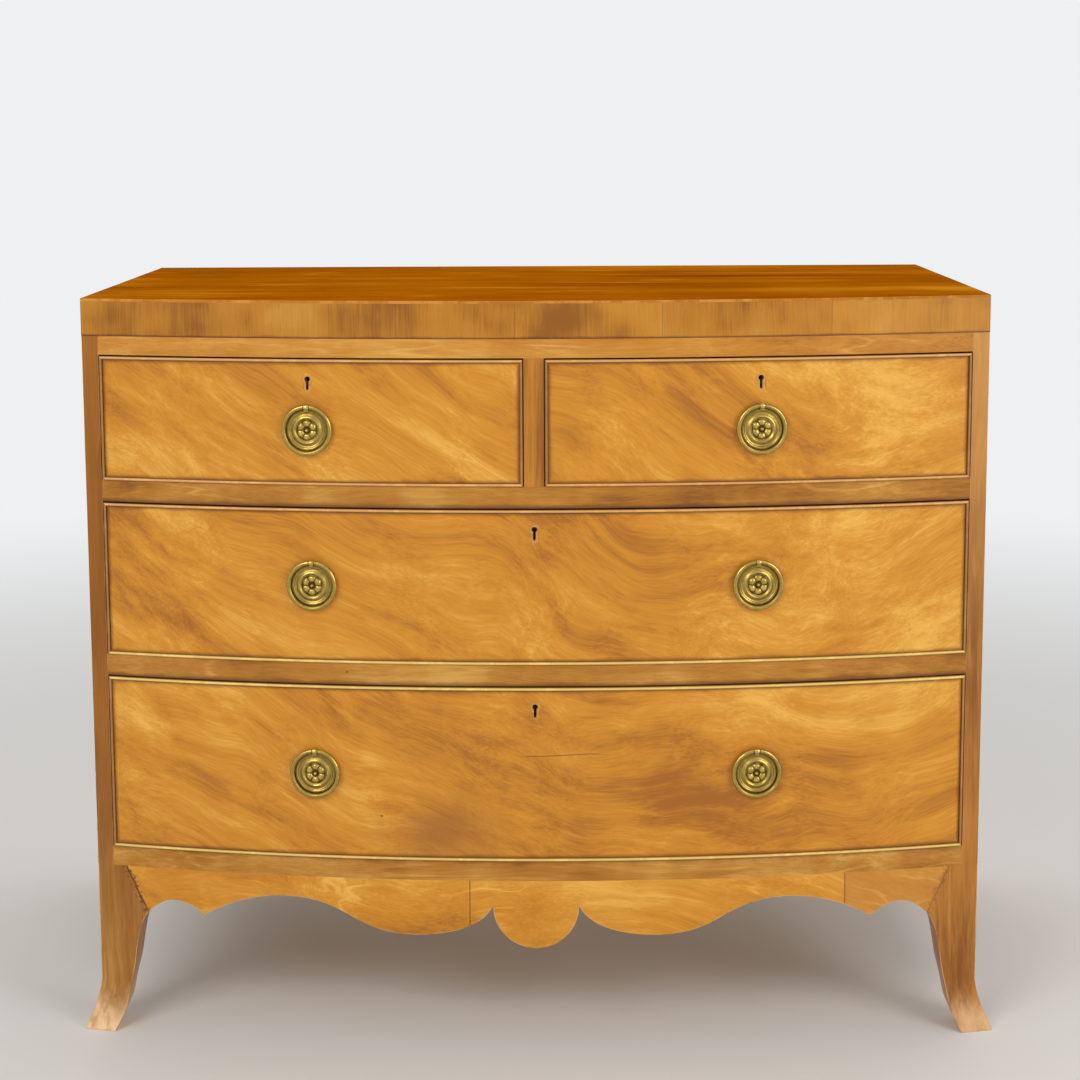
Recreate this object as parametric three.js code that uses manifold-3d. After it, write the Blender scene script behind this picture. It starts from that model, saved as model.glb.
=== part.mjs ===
// Bow front chest of drawers: two short drawers over two long ones, on splayed feet
// with a shaped apron. Sizes in millimetres, X to the right, Y to the back, Z up.
// The origin is on the floor, below the middle of the chest.

import * as THREE from 'three';
import { mergeVertices } from 'three/addons/utils/BufferGeometryUtils.js';
import Module from 'manifold-3d';

const wasm = await Module();
wasm.setup();

// Driving sizes of the body
const bodyWidth = 1000;
const sideDepth = 500;
const bowDepth = 58;
const sideThickness = 19;
const dividerWidth = 22;

// Heights of the parts of the front, from the floor up
const footHeight = 192;
const bottomRailHeight = 23;
const lowOpening = 199;
const lowerRailHeight = 24;
const middleOpening = 174;
const upperRailHeight = 24;
const topOpening = 140;
const topRailHeight = 21;
const friezeHeight = 41;

// Boards of the carcase
const topThickness = 20;
const lipThickness = 3;
const lipRound = 1.2;
const friezeDepth = 14;
const friezeProud = 0.8;
const railDepth = 45;
const dustBoardThickness = 12;
const backThickness = 14;
const backRebate = 8;
const backBoardCount = 4;
const backJointWidth = 4;
const backJointDepth = 3;
const housingDepth = 6;
const housingStop = 15;
const dividerDepth = 60;
const guideHeight = 14;
const kickerHeight = 18;
const kickerWidth = 20;
const centreKickerWidth = 60;
const stopLength = 30;
const stopDepth = 12;
const stopHeight = 5;

// Splayed feet
const footTopWidth = 62;
const bracketHeight = 142;
const toeFlare = 18;
const flareHeight = 56;
const flarePower = 1.5;
const footArris = 1.5;

// Apron
const apronThickness = 20;
const lobeRadius = 48;
const lobeRise = 30;
const bellyDrop = 64;
const archDrop = 24;
const pointDrop = 52;
const smallArchDrop = 37;
const sideArchRise = 16;
const sideArchRun = 36;

// Drawers
const frontThickness = 22;
const drawerSideThickness = 10;
const drawerBackThickness = 10;
const drawerBottomThickness = 6;
const drawerBottomLift = 8;
const grooveDepth = 4;
const rearClearance = 20;
const sideDrop = 3;
const backDrop = 9;
const sideClearance = 1;
const topClearance = 1.5;
const floorClearance = 0.3;
const tailLength = 11;
const tailPitch = 40;
const beadThickness = 3.2;
const beadInset = 9;
const beadProud = 3;

// Locks and keyholes
const keyholeDrop = 22;
const keyholeHeadRadius = 3;
const keyholeSlotWidth = 2.8;
const keyholeLength = 15;
const liningWall = 3;
const liningDepth = 3;
const liningProud = 0.15;
const lockWidth = 54;
const lockDrop = 42;
const lockDepth = 11;
const lockProud = 2;
const selvedgeWidth = 64;
const selvedgeThickness = 2.5;
const boltWidth = 16;
const boltThickness = 5.5;
const boltFoot = 30;
const boltNotchWidth = 8.5;
const boltNotchHeight = 12;
const boltThrow = 8;

// Ring pulls
const topHandleDrop = 9;
const lowHandleDrop = 2;
const longHandleSpacing = 487;
const plateRadius = 24.6;
const ringRadius = 25.6;
const ringWireRadius = 2.6;
const ringStandoff = 4.6;
const knuckleWidth = 6;
const knuckleRadius = 3.3;
const pivotPinRadius = 1.4;
const pivotBoreRadius = 1.7;
const pivotPinLength = 2.2;
const neckWidth = 5;
const postRadius = 2.5;
const postReach = 5;
const nutWidth = 12;
const nutThickness = 3.5;

// Clearances and overruns
const fitGap = 0.3;
const fineGap = 0.15;
const overrun = 2;

// Fineness of the curves
const bowStep = 60;
const curveSteps = 6;
const lobeSteps = 12;
const footSteps = 9;
const noseSteps = 3;
const keyholeHeadSteps = 8;
const keyholeFootSteps = 2;
const plateSteps = 16;
const ringSteps = 16;
const wireSides = 6;
const roundSides = 8;

// Levels worked out from the heights
const bottomLevel = footHeight + bottomRailHeight;
const lowerLevel = bottomLevel + lowOpening + lowerRailHeight;
const upperLevel = lowerLevel + middleOpening + upperRailHeight;
const topRailLevel = upperLevel + topOpening;
const friezeLevel = topRailLevel + topRailHeight;
const bodyHeight = friezeLevel + friezeHeight;
const topUnderside = bodyHeight - topThickness;

// The bow is an arc through both front corners. An offset of it, out, is measured
// along its radius, and is positive towards the room.
const halfWidth = bodyWidth / 2;
const openingHalf = halfWidth - sideThickness;
const bowRadius = (halfWidth ** 2 + bowDepth ** 2) / (2 * bowDepth);
const frontCorner = (bowDepth + beadProud - sideDepth) / 2;
const backFace = frontCorner + sideDepth;
const backPanelFace = backFace - backThickness;
const railBack = frontCorner + railDepth;
const bowCentre = frontCorner + bowRadius - bowDepth;
const bowY = (x, out = 0) => bowCentre - Math.sqrt((bowRadius + out) ** 2 - x ** 2);
const bowTurn = (x) => Math.asin(x / bowRadius);

// Turns a closed geometry into a solid with shared corners and faces outwards
function toSolid(geometry) {
  const bare = geometry.clone();
  bare.deleteAttribute('normal');
  bare.deleteAttribute('uv');
  const merged = mergeVertices(bare);
  const places = merged.attributes.position.array;
  const corner = (i) => new THREE.Vector3().fromArray(places, i * 3);
  const triangles = [];
  let volume = 0;
  for (let i = 0; i < merged.index.count; i += 3) {
    const [a, b, c] = merged.index.array.slice(i, i + 3);
    if (a === b || b === c || c === a) continue;
    volume += corner(a).dot(corner(b).cross(corner(c)));
    triangles.push(a, b, c);
  }
  if (volume < 0) triangles.reverse();
  return new wasm.Manifold(new wasm.Mesh({
    numProp: 3,
    vertProperties: Float32Array.from(places),
    triVerts: Uint32Array.from(triangles),
  }));
}

// Turns a solid into a geometry for a mesh
function toGeometry(body) {
  const mesh = body.getMesh();
  const geometry = new THREE.BufferGeometry();
  geometry.setAttribute('position', new THREE.Float32BufferAttribute(mesh.vertProperties, 3));
  geometry.setIndex(Array.from(mesh.triVerts));
  geometry.computeVertexNormals();
  return geometry;
}

const joined = (first, ...others) => others.reduce((sum, other) => sum.add(other), first);
const cut = (body, ...tools) => tools.reduce((rest, tool) => rest.subtract(tool), body);

// A box between two corners
function block([x0, y0, z0], [x1, y1, z1]) {
  const geometry = new THREE.BoxGeometry(x1 - x0, y1 - y0, z1 - z0);
  geometry.translate((x0 + x1) / 2, (y0 + y1) / 2, (z0 + z1) / 2);
  return toSolid(geometry);
}

// An outline pushed along X, Y or Z. Along X it is drawn in (y, z), along Y in (x, z)
// and along Z in (x, y).
function prism(shape, axis, from, to) {
  const settings = { depth: to - from, bevelEnabled: false, curveSegments: curveSteps };
  const geometry = new THREE.ExtrudeGeometry(shape, settings);
  const [x, y, z] = [[1, 0, 0], [0, 1, 0], [0, 0, 1]].map((v) => new THREE.Vector3(...v));
  const turns = { x: [y, z, x, from], y: [x, z, y.clone().negate(), -to], z: [x, y, z, from] };
  const [u, v, w, start] = turns[axis];
  geometry.translate(0, 0, start);
  geometry.applyMatrix4(new THREE.Matrix4().makeBasis(u, v, w));
  return toSolid(geometry);
}

const outline = (points) => new THREE.Shape(points.map(([u, v]) => new THREE.Vector2(u, v)));

// Skins a row of rings of points, with a flat cap on each end
function loft(rings, capOutline) {
  const size = rings[0].length;
  const places = rings.flat().flatMap((point) => point.toArray());
  const index = [];
  for (let r = 0; r + 1 < rings.length; r += 1) {
    for (let i = 0; i < size; i += 1) {
      const j = (i + 1) % size;
      const [a, b, c, d] = [r * size + i, r * size + j, (r + 1) * size + j, (r + 1) * size + i];
      index.push(a, b, c, a, c, d);
    }
  }
  const last = (rings.length - 1) * size;
  const runsWith = (face) => THREE.ShapeUtils.area(face.map((i) => capOutline[i]))
    * THREE.ShapeUtils.area(capOutline) > 0;
  for (const face of THREE.ShapeUtils.triangulateShape(capOutline, [])) {
    const [a, b, c] = runsWith(face) ? face : face.reverse();
    index.push(c, b, a, last + a, last + b, last + c);
  }
  const geometry = new THREE.BufferGeometry();
  geometry.setAttribute('position', new THREE.Float32BufferAttribute(places, 3));
  geometry.setIndex(index);
  return toSolid(geometry);
}

// Evenly spaced stations from one X to another
function stations(x0, x1) {
  const count = Math.max(1, Math.round((x1 - x0) / bowStep));
  return Array.from({ length: count + 1 }, (_, i) => x0 + (x1 - x0) * i / count);
}

// Carries a section along the bow. Each point of the section has its height, z, and
// either out, its offset from the bow, or y, a straight line parallel to the back.
function bowSweep(section, x0, x1) {
  const place = (x, { out, y, z }) => new THREE.Vector3(x, y ?? bowY(x, out), z);
  const rings = stations(x0, x1).map((x) => section.map((point) => place(x, point)));
  const cap = section.map((point) => new THREE.Vector2(place(x0, point).y, point.z));
  return loft(rings, cap);
}

// A board with a bowed front face and a bowed back face
const bowedBoard = (x0, x1, outBack, outFront, z0, z1) => bowSweep([
  { out: outBack, z: z0 }, { out: outFront, z: z0 },
  { out: outFront, z: z1 }, { out: outBack, z: z1 },
], x0, x1);

// A board with a bowed front face and a straight back
const bowFrontBoard = (x0, x1, outFront, yBack, z0, z1) => bowSweep([
  { y: yBack, z: z0 }, { out: outFront, z: z0 },
  { out: outFront, z: z1 }, { y: yBack, z: z1 },
], x0, x1);

// The place of a fitting on the bow: X along the face, Y into the wood, Z up
function onBow(x, z) {
  return new THREE.Matrix4().makeRotationZ(bowTurn(x)).setPosition(x, bowY(x), z);
}

function seated(shape, axis, from, to, seat) {
  return toSolid(toGeometry(prism(shape, axis, from, to)).applyMatrix4(seat));
}

// A circle or a regular figure as an outline
function round(u, v, radius, sides = roundSides) {
  const points = [];
  for (let i = 0; i < sides; i += 1) {
    const angle = 2 * Math.PI * (i + 1 / 2) / sides;
    points.push([u + radius * Math.cos(angle), v + radius * Math.sin(angle)]);
  }
  return outline(points);
}

const rectangle = (u0, v0, u1, v1) => outline([[u0, v0], [u1, v0], [u1, v1], [u0, v1]]);

// Finishes
const finish = (color, roughness, metalness = 0) => new THREE.MeshStandardMaterial({
  color, roughness, metalness, flatShading: true,
});
const finishes = {
  top: () => finish('#b0661f', 0.28),
  figured: () => finish('#cf8f45', 0.4),
  crossband: () => finish('#bd8044', 0.42),
  rail: () => finish('#b9783a', 0.42),
  side: () => finish('#a56c35', 0.45),
  bead: () => finish('#a8622a', 0.38),
  lining: () => finish('#c9a877', 0.7),
  brass: () => finish('#a8914e', 0.35, 0.9),
  steel: () => finish('#6a6762', 0.5, 0.9),
};

function addPiece(parent, name, body, finishName) {
  const mesh = new THREE.Mesh(toGeometry(body), finishes[finishName]());
  mesh.name = name;
  parent.add(mesh);
  return mesh;
}

// The top: its thin front lip runs over the frieze, and has a rounded upper edge
function topBoard() {
  const lipFoot = bodyHeight - lipThickness;
  const edge = [];
  for (let i = 0; i <= noseSteps; i += 1) {
    const angle = (Math.PI / 2) * i / noseSteps;
    edge.push({
      out: friezeProud - lipRound * (1 - Math.cos(angle)),
      z: bodyHeight - lipRound * (1 - Math.sin(angle)),
    });
  }
  return bowSweep([
    { y: backFace, z: topUnderside },
    { y: frontCorner + friezeDepth, z: topUnderside },
    { y: frontCorner + friezeDepth, z: lipFoot },
    { out: friezeProud, z: lipFoot },
    ...edge,
    { y: backFace, z: bodyHeight },
  ], -halfWidth, halfWidth);
}

// The top frame: the deep frieze, the rail below it, and three strips at the back of
// the rail that keep the open drawers from tipping
function topFrame() {
  const frieze = bowFrontBoard(
    -halfWidth, halfWidth, friezeProud, frontCorner + friezeDepth,
    friezeLevel, bodyHeight - lipThickness,
  );
  const rail = bowFrontBoard(-openingHalf, openingHalf, 0, railBack, topRailLevel, friezeLevel);
  const backing = bowFrontBoard(
    -openingHalf, openingHalf, -friezeDepth / 2, frontCorner + friezeDepth,
    topRailLevel, friezeLevel + friezeHeight / 2,
  );
  const kickerTop = topRailLevel + kickerHeight;
  const kicker = (x0, x1) => block(
    [x0, railBack - overrun, topRailLevel], [x1, backPanelFace, kickerTop],
  );
  return joined(
    frieze, rail, backing,
    kicker(-openingHalf, kickerWidth - openingHalf),
    kicker(-centreKickerWidth / 2, centreKickerWidth / 2),
    kicker(openingHalf - kickerWidth, openingHalf),
  );
}

// Mortises in the underside of a rail, one over each lock
function boltMortises(keyholes, z) {
  const half = boltWidth / 2 + fitGap * 2;
  const middle = boltMiddle();
  const reach = boltThickness / 2 + fitGap * 2;
  const shape = rectangle(-half, middle - reach, half, middle + reach);
  return keyholes.map((x) => seated(shape, 'z', -overrun, boltThrow + overrun, onBow(x, z)));
}

// A shelf between two rows of drawers: its rail shows in front, the dust board behind
// it carries the drawers, and small stops on it meet the drawer fronts
function shelf(level, railHeight, stopPlaces) {
  const rail = bowFrontBoard(-openingHalf, openingHalf, 0, railBack, level - railHeight, level);
  const boardFoot = level - dustBoardThickness;
  const board = block(
    [-openingHalf, railBack - overrun, boardFoot], [openingHalf, backPanelFace, level],
  );
  const tongueReach = openingHalf + housingDepth;
  const tongues = block(
    [-tongueReach, railBack + housingStop, boardFoot], [tongueReach, backPanelFace, level],
  );
  const stops = stopPlaces.map((x) => {
    const nearY = bowY(Math.abs(x) + stopLength / 2, -frontThickness) + fitGap;
    return block(
      [x - stopLength / 2, nearY, level - overrun],
      [x + stopLength / 2, nearY + stopDepth, level + stopHeight],
    );
  });
  return joined(rail, board, tongues, ...stops);
}

// The upright between the two short drawers, with a low guide running to the back
function divider() {
  const half = dividerWidth / 2;
  const post = bowFrontBoard(-half, half, 0, frontCorner + dividerDepth, upperLevel, topRailLevel);
  const guide = block(
    [-half, frontCorner, upperLevel], [half, backPanelFace, upperLevel + guideHeight],
  );
  return joined(post, guide);
}

// Boards laid edge to edge, with a V at each joint on the outside
function backPanel() {
  const half = openingHalf + backRebate - fitGap;
  const boardHeight = (topUnderside - footHeight) / backBoardCount;
  const points = [[backPanelFace, footHeight], [backPanelFace, topUnderside], [backFace, topUnderside]];
  for (let i = backBoardCount - 1; i > 0; i -= 1) {
    const z = footHeight + i * boardHeight;
    points.push([backFace, z + backJointWidth / 2]);
    points.push([backFace - backJointDepth, z]);
    points.push([backFace, z - backJointWidth / 2]);
  }
  points.push([backFace, footHeight]);
  return prism(outline(points), 'x', -half, half);
}

// The leg's inner edge, as shares of the bracket's height and of the foot's top width
const innerEdgeShares = [
  [0, 0.29], [0.17, 0.48], [0.35, 0.565], [0.5, 0.645], [0.66, 0.7], [0.81, 0.765],
  [0.93, 0.87], [1, 1],
];
const innerEdge = new THREE.SplineCurve(innerEdgeShares.map(
  ([height, width]) => new THREE.Vector2(height * bracketHeight, width * footTopWidth),
));

// Heights up a foot, with the leg's inner edge and its flare at each
function footLevels() {
  const levels = [];
  for (let i = 0; i <= footSteps; i += 1) {
    const { x: z, y: inner } = innerEdge.getPoint(i / footSteps);
    const flare = toeFlare * Math.max(0, 1 - z / flareHeight) ** flarePower;
    levels.push({ z, inner, flare });
  }
  levels.push({ z: footHeight, inner: footTopWidth, flare: 0 });
  return levels;
}

// A front foot splays to the side and forwards, and its face follows the bow
function frontFoot(side) {
  const rings = footLevels().map(({ z, inner, flare }) => {
    const outerX = halfWidth + flare;
    const innerX = halfWidth - inner;
    const backY = frontCorner + inner;
    const frontAt = (x) => [x, bowY(x, flare)];
    const section = [
      [outerX, backY],
      [outerX, frontAt(outerX)[1] + footArris],
      frontAt(outerX - footArris),
      frontAt((outerX + innerX) / 2),
      frontAt(innerX),
      [innerX, backY],
    ];
    return section.map(([x, y]) => new THREE.Vector3(side * x, y, z));
  });
  return loft(rings, rings[0].map(({ x, y }) => new THREE.Vector2(x, y)));
}

// A rear foot splays to the side only, so that the chest can stand against a wall
function rearFoot(side) {
  const rings = footLevels().map(({ z, inner, flare }) => {
    const outerX = halfWidth + flare;
    const innerX = halfWidth - inner;
    const section = [[outerX, backFace - inner], [innerX, backFace - inner],
      [innerX, backFace], [outerX, backFace]];
    return section.map(([x, y]) => new THREE.Vector3(side * x, y, z));
  });
  return loft(rings, rings[0].map(({ x, y }) => new THREE.Vector2(x, y)));
}

// A side of the carcase, with its shallow arch, its rear foot, the housings for the
// dust boards, the rebate for the back and the notch for the frieze
function carcaseSide(side) {
  const footBack = frontCorner + footTopWidth;
  const rearFront = backFace - footTopWidth;
  const archLevel = bracketHeight + sideArchRise;
  const early = bowY(openingHalf - overrun) - overrun;
  const shape = new THREE.Shape();
  shape.moveTo(early, footHeight);
  shape.lineTo(footBack, footHeight);
  shape.lineTo(footBack, bracketHeight);
  shape.quadraticCurveTo(footBack, archLevel, footBack + sideArchRun, archLevel);
  shape.lineTo(rearFront - sideArchRun, archLevel);
  shape.quadraticCurveTo(rearFront, archLevel, rearFront, bracketHeight);
  shape.lineTo(backFace, bracketHeight);
  shape.lineTo(backFace, topUnderside);
  shape.lineTo(early, topUnderside);
  const [low, high] = side < 0 ? [-halfWidth, -openingHalf] : [openingHalf, halfWidth];
  const reach = (a, b) => (side < 0 ? [-b, -a] : [a, b]);
  const [grooveLow, grooveHigh] = reach(openingHalf - overrun, openingHalf + housingDepth + fitGap);
  const [rebateLow, rebateHigh] = reach(openingHalf - overrun, openingHalf + backRebate);
  const [wideLow, wideHigh] = reach(openingHalf - overrun, halfWidth + overrun);
  const planOfRoom = outline([
    [wideLow, early - overrun], [wideHigh, early - overrun],
    [wideHigh, bowY(wideHigh)], [wideLow, bowY(wideLow)],
  ]);
  const housings = [bottomLevel, lowerLevel, upperLevel].map((level) => block(
    [grooveLow, railBack + housingStop - fitGap, level - dustBoardThickness - fineGap],
    [grooveHigh, backFace, level + fineGap],
  ));
  const panel = cut(
    prism(shape, 'x', low, high),
    prism(planOfRoom, 'z', 0, bodyHeight),
    block([wideLow, early - overrun, friezeLevel], [wideHigh, frontCorner + friezeDepth, bodyHeight]),
    ...housings,
  );
  const rebate = block([rebateLow, backPanelFace, footHeight], [rebateHigh, backFace + overrun, bodyHeight]);
  return cut(panel.add(rearFoot(side)), rebate);
}

// Places along the apron's edge, as shares of the way from its middle to the foot
const edgePlaceShares = { belly: 0.3105, arch: 0.6415, point: 0.8585, smallArch: 0.936 };

// One half of the apron's lower edge, from the middle to the foot, for either side
function apronEdge(shape, side) {
  const at = (reach, drop) => [side * reach, footHeight - drop];
  const footReach = halfWidth - footTopWidth;
  const footDrop = footHeight - bracketHeight;
  const bellyReach = footReach * edgePlaceShares.belly;
  const archReach = footReach * edgePlaceShares.arch;
  const pointReach = footReach * edgePlaceShares.point;
  const smallArchReach = footReach * edgePlaceShares.smallArch;
  const bellyPull = (bellyReach - lobeRadius) / 2;
  const archPull = (archReach - bellyReach) / 2;
  const pointPull = (pointReach - archReach) / 2;
  const smallPull = (smallArchReach - pointReach) / 2;
  const footPull = (footReach - smallArchReach) / 2;
  const softPull = bellyPull / 2;
  shape.bezierCurveTo(
    ...at(lobeRadius + softPull / 2, lobeRise + softPull),
    ...at(bellyReach - bellyPull, bellyDrop), ...at(bellyReach, bellyDrop),
  );
  shape.bezierCurveTo(
    ...at(bellyReach + archPull, bellyDrop),
    ...at(archReach - archPull, archDrop), ...at(archReach, archDrop),
  );
  shape.quadraticCurveTo(...at(archReach + pointPull, archDrop), ...at(pointReach, pointDrop));
  shape.quadraticCurveTo(...at(smallArchReach - smallPull, smallArchDrop),
    ...at(smallArchReach, smallArchDrop));
  shape.quadraticCurveTo(...at(smallArchReach + footPull, smallArchDrop),
    ...at(footReach, footDrop));
}

// The apron: a round lobe in the middle, then a belly, an arch and a small arch
function apron() {
  const footReach = halfWidth - footTopWidth;
  const halfOutline = (side) => {
    const lobe = [];
    for (let i = 0; i <= lobeSteps / 2; i += 1) {
      const angle = (Math.PI / 2) * i / (lobeSteps / 2);
      lobe.push([side * lobeRadius * Math.sin(angle), -lobeRadius * Math.cos(angle)]);
    }
    const shape = outline([[0, footHeight], ...lobe.map(([x, z]) => [x, z + footHeight - lobeRise])]);
    apronEdge(shape, side);
    shape.lineTo(side * footReach, footHeight);
    return prism(shape, 'y', bowY(0, overrun), railBack);
  };
  const board = bowedBoard(-footReach, footReach, -apronThickness, 0, 0, footHeight);
  return board.intersect(halfOutline(-1).add(halfOutline(1)));
}

// Where the bolt runs, measured into the drawer front from its face
function boltMiddle() {
  return frontThickness + lockProud - lockDepth / 2;
}

// A keyhole: a round head over a slot that ends in a half round
function keyholeShape(headRadius, slotWidth, length) {
  const slot = slotWidth / 2;
  const headAngle = Math.asin(slot / headRadius);
  const foot = headRadius - length + slot;
  const arc = (centre, radius, start, sweep, steps) => Array.from({ length: steps + 1 }, (_, i) => {
    const angle = start + sweep * i / steps;
    return [radius * Math.cos(angle), centre + radius * Math.sin(angle)];
  });
  const turn = 2 * Math.PI;
  return outline([
    ...arc(0, headRadius, headAngle - turn / 4, turn - 2 * headAngle, keyholeHeadSteps),
    ...arc(foot, slot, turn / 2, turn / 2, keyholeFootSteps),
  ]);
}

const keyholeOpening = () => keyholeShape(keyholeHeadRadius, keyholeSlotWidth, keyholeLength);
const liningOutline = (grow = 0) => {
  const wall = liningWall + grow;
  return keyholeShape(keyholeHeadRadius + wall, keyholeSlotWidth + 2 * wall, keyholeLength + 2 * wall);
};

// The brass lining let into the wood round a keyhole
function keyholeLining() {
  return cut(
    prism(liningOutline(), 'y', -liningProud, liningDepth),
    prism(keyholeOpening(), 'y', -overrun, liningDepth + overrun),
  );
}

// A lock: a case let into the back of the drawer front, closed by a selvedge at the top
function lockCase() {
  const inner = frontThickness + lockProud;
  const outer = inner - lockDepth;
  const half = lockWidth / 2;
  const foot = keyholeDrop - lockDrop;
  const middle = boltMiddle();
  const channelHalf = boltWidth / 2 + fitGap;
  const channelReach = boltThickness / 2 + fineGap;
  return cut(
    joined(
      block([-half, outer, foot], [half, inner, keyholeDrop]),
      block([-selvedgeWidth / 2, outer, keyholeDrop - selvedgeThickness],
        [selvedgeWidth / 2, inner, keyholeDrop]),
    ),
    block([-channelHalf, middle - channelReach, keyholeDrop - boltFoot - fitGap],
      [channelHalf, middle + channelReach, keyholeDrop + overrun]),
    prism(keyholeOpening(), 'y', outer - overrun, middle),
  );
}

// The bolt, drawn back, with the notch that the key turns in
function lockBolt() {
  const half = boltWidth / 2;
  const notch = boltNotchWidth / 2;
  const foot = keyholeDrop - boltFoot;
  const top = keyholeDrop - fitGap;
  const shape = outline([
    [-half, foot], [-notch, foot], [-notch, foot + boltNotchHeight],
    [notch, foot + boltNotchHeight], [notch, foot], [half, foot], [half, top], [-half, top],
  ]);
  const middle = boltMiddle();
  return prism(shape, 'y', middle - boltThickness / 2, middle + boltThickness / 2);
}

// The hollows in a drawer front for its lock, its lining and its keyhole
function lockHollows(seat) {
  const outer = frontThickness + lockProud - lockDepth - fineGap;
  const half = lockWidth / 2 + fineGap;
  const inner = frontThickness + overrun;
  const foot = keyholeDrop - lockDrop - fineGap;
  const wide = selvedgeWidth / 2 + fineGap;
  const above = keyholeDrop + overrun;
  const under = keyholeDrop - selvedgeThickness - fineGap;
  return [
    seated(rectangle(-half, foot, half, above), 'y', outer, inner, seat),
    seated(rectangle(-wide, under, wide, above), 'y', outer, inner, seat),
    seated(liningOutline(fineGap), 'y', -overrun, liningDepth + fineGap, seat),
    seated(keyholeOpening(), 'y', -overrun, inner, seat),
  ];
}

// Tails cut on the end of a drawer side, in a row between two heights. They widen
// from root to tip and run along X through the side's thickness.
const tailRootShare = 0.5;
const tailTipShare = 0.68;
function dovetails([x0, x1], rootY, tipY, z0, z1, grow = 0) {
  const count = Math.max(2, Math.round((z1 - z0) / tailPitch));
  const pitch = (z1 - z0) / count;
  const along = Math.sign(tipY - rootY) * grow;
  const tails = [];
  for (let i = 0; i < count; i += 1) {
    const z = z0 + (i + 1 / 2) * pitch;
    const root = pitch * tailRootShare / 2 + grow;
    const tip = pitch * tailTipShare / 2 + grow;
    const shape = outline([
      [rootY, z - root], [tipY + along, z - tip], [tipY + along, z + tip], [rootY, z + root],
    ]);
    tails.push(prism(shape, 'x', x0 - grow, x1 + grow));
  }
  return joined(...tails);
}

// Sizes that the pieces of one drawer share
function drawerPlan({ left, right, floor, opening }) {
  const x0 = left + sideClearance;
  const x1 = right - sideClearance;
  const height = opening - topClearance - floorClearance;
  const rearY = backPanelFace - rearClearance;
  return {
    x0, x1, height, rearY,
    baseZ: floor + floorClearance,
    sideTop: height - sideDrop,
    backTop: height - backDrop,
    backFoot: drawerBottomLift + drawerBottomThickness + fineGap,
    backY: rearY - drawerBackThickness,
    sides: [[x0, x0 + drawerSideThickness], [x1 - drawerSideThickness, x1]],
  };
}

// The tails at the front of a drawer side start at the inside of the front
function frontTails(plan, [low, high], grow = 0) {
  const outer = Math.max(Math.abs(low), Math.abs(high));
  const root = bowY(outer, -frontThickness) + overrun;
  const tip = bowY(outer, tailLength - frontThickness);
  return dovetails([low, high], root, tip, 0, plan.sideTop, grow);
}

const rearTails = (plan, reach, grow = 0) => dovetails(
  reach, plan.backY - fineGap, plan.rearY, plan.backFoot, plan.backTop, grow,
);

// A drawer front: bowed, rebated round its face for the bead, and cut for the lock,
// the bottom, the dovetails and the posts of its ring pulls
function drawerFront(plan, keyholeX, handles) {
  const { x0, x1, height } = plan;
  const ledge = beadThickness + fineGap;
  const body = joined(
    bowedBoard(x0, x1, -frontThickness, -beadInset, 0, height),
    bowedBoard(x0 + ledge, x1 - ledge, -beadInset - overrun, 0, ledge, height - ledge),
  );
  const [[, innerLow], [innerHigh]] = plan.sides;
  const groove = bowedBoard(
    innerLow - fitGap, innerHigh + fitGap, -frontThickness - overrun, grooveDepth - frontThickness,
    drawerBottomLift - fineGap, drawerBottomLift + drawerBottomThickness + fineGap,
  );
  const postHoles = handles.map(({ x, z }) => seated(
    round(0, 0, postRadius + fitGap), 'y', -overrun, frontThickness + overrun, onBow(x, z),
  ));
  return cut(
    body, groove,
    ...plan.sides.map((reach) => frontTails(plan, reach, fineGap)),
    ...lockHollows(onBow(keyholeX, height - keyholeDrop)),
    ...postHoles,
  );
}

// The cock bead: a thin strip round the drawer front that stands proud with a round nose
function cockBead({ x0, x1, height }) {
  const nose = beadThickness / 2;
  const inset = fineGap - beadInset;
  const arc = [];
  for (let i = 0; i <= noseSteps; i += 1) {
    const angle = Math.PI * i / noseSteps;
    arc.push({ across: nose - nose * Math.cos(angle), out: beadProud - nose + nose * Math.sin(angle) });
  }
  const level = (z0) => bowSweep([
    { out: inset, z: z0 },
    ...arc.map(({ across, out }) => ({ out, z: z0 + across })),
    { out: inset, z: z0 + beadThickness },
  ], x0, x1);
  const upright = (x) => prism(outline([
    [x, bowY(x, inset)],
    ...arc.map(({ across, out }) => [x + across, bowY(x + across, out)]),
    [x + beadThickness, bowY(x + beadThickness, inset)],
  ]), 'z', 0, height);
  return joined(
    level(0), level(height - beadThickness), upright(x0), upright(x1 - beadThickness),
  );
}

// A drawer side: dovetailed at both ends, its front shoulder cut to the bow, and
// grooved for the bottom
function drawerSide(plan, reach) {
  const [low, high] = reach;
  const shoulder = (x) => bowY(x, -frontThickness) + fineGap;
  const plank = prism(outline([
    [low, shoulder(low)], [high, shoulder(high)], [high, plan.rearY], [low, plan.rearY],
  ]), 'z', 0, plan.sideTop);
  const pins = cut(
    block([low - overrun, plan.backY - fineGap, plan.backFoot],
      [high + overrun, plan.rearY + overrun, plan.backTop + fineGap]),
    rearTails(plan, reach, fineGap),
  );
  const isLeft = low === plan.x0;
  const grooveReach = isLeft ? [high - grooveDepth, high + overrun] : [low - overrun, low + grooveDepth];
  const groove = block(
    [grooveReach[0], bowY(0, 0), drawerBottomLift - fineGap],
    [grooveReach[1], plan.rearY + overrun, plan.backFoot],
  );
  return cut(plank.add(frontTails(plan, reach)), pins, groove);
}

// A drawer back: it stands on the bottom, between the tails of the sides
function drawerBack(plan) {
  const { x0, x1 } = plan;
  return cut(
    block([x0, plan.backY, plan.backFoot + fineGap], [x1, plan.rearY, plan.backTop]),
    ...plan.sides.map((reach) => rearTails(plan, reach, fineGap * 2)),
  );
}

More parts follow.
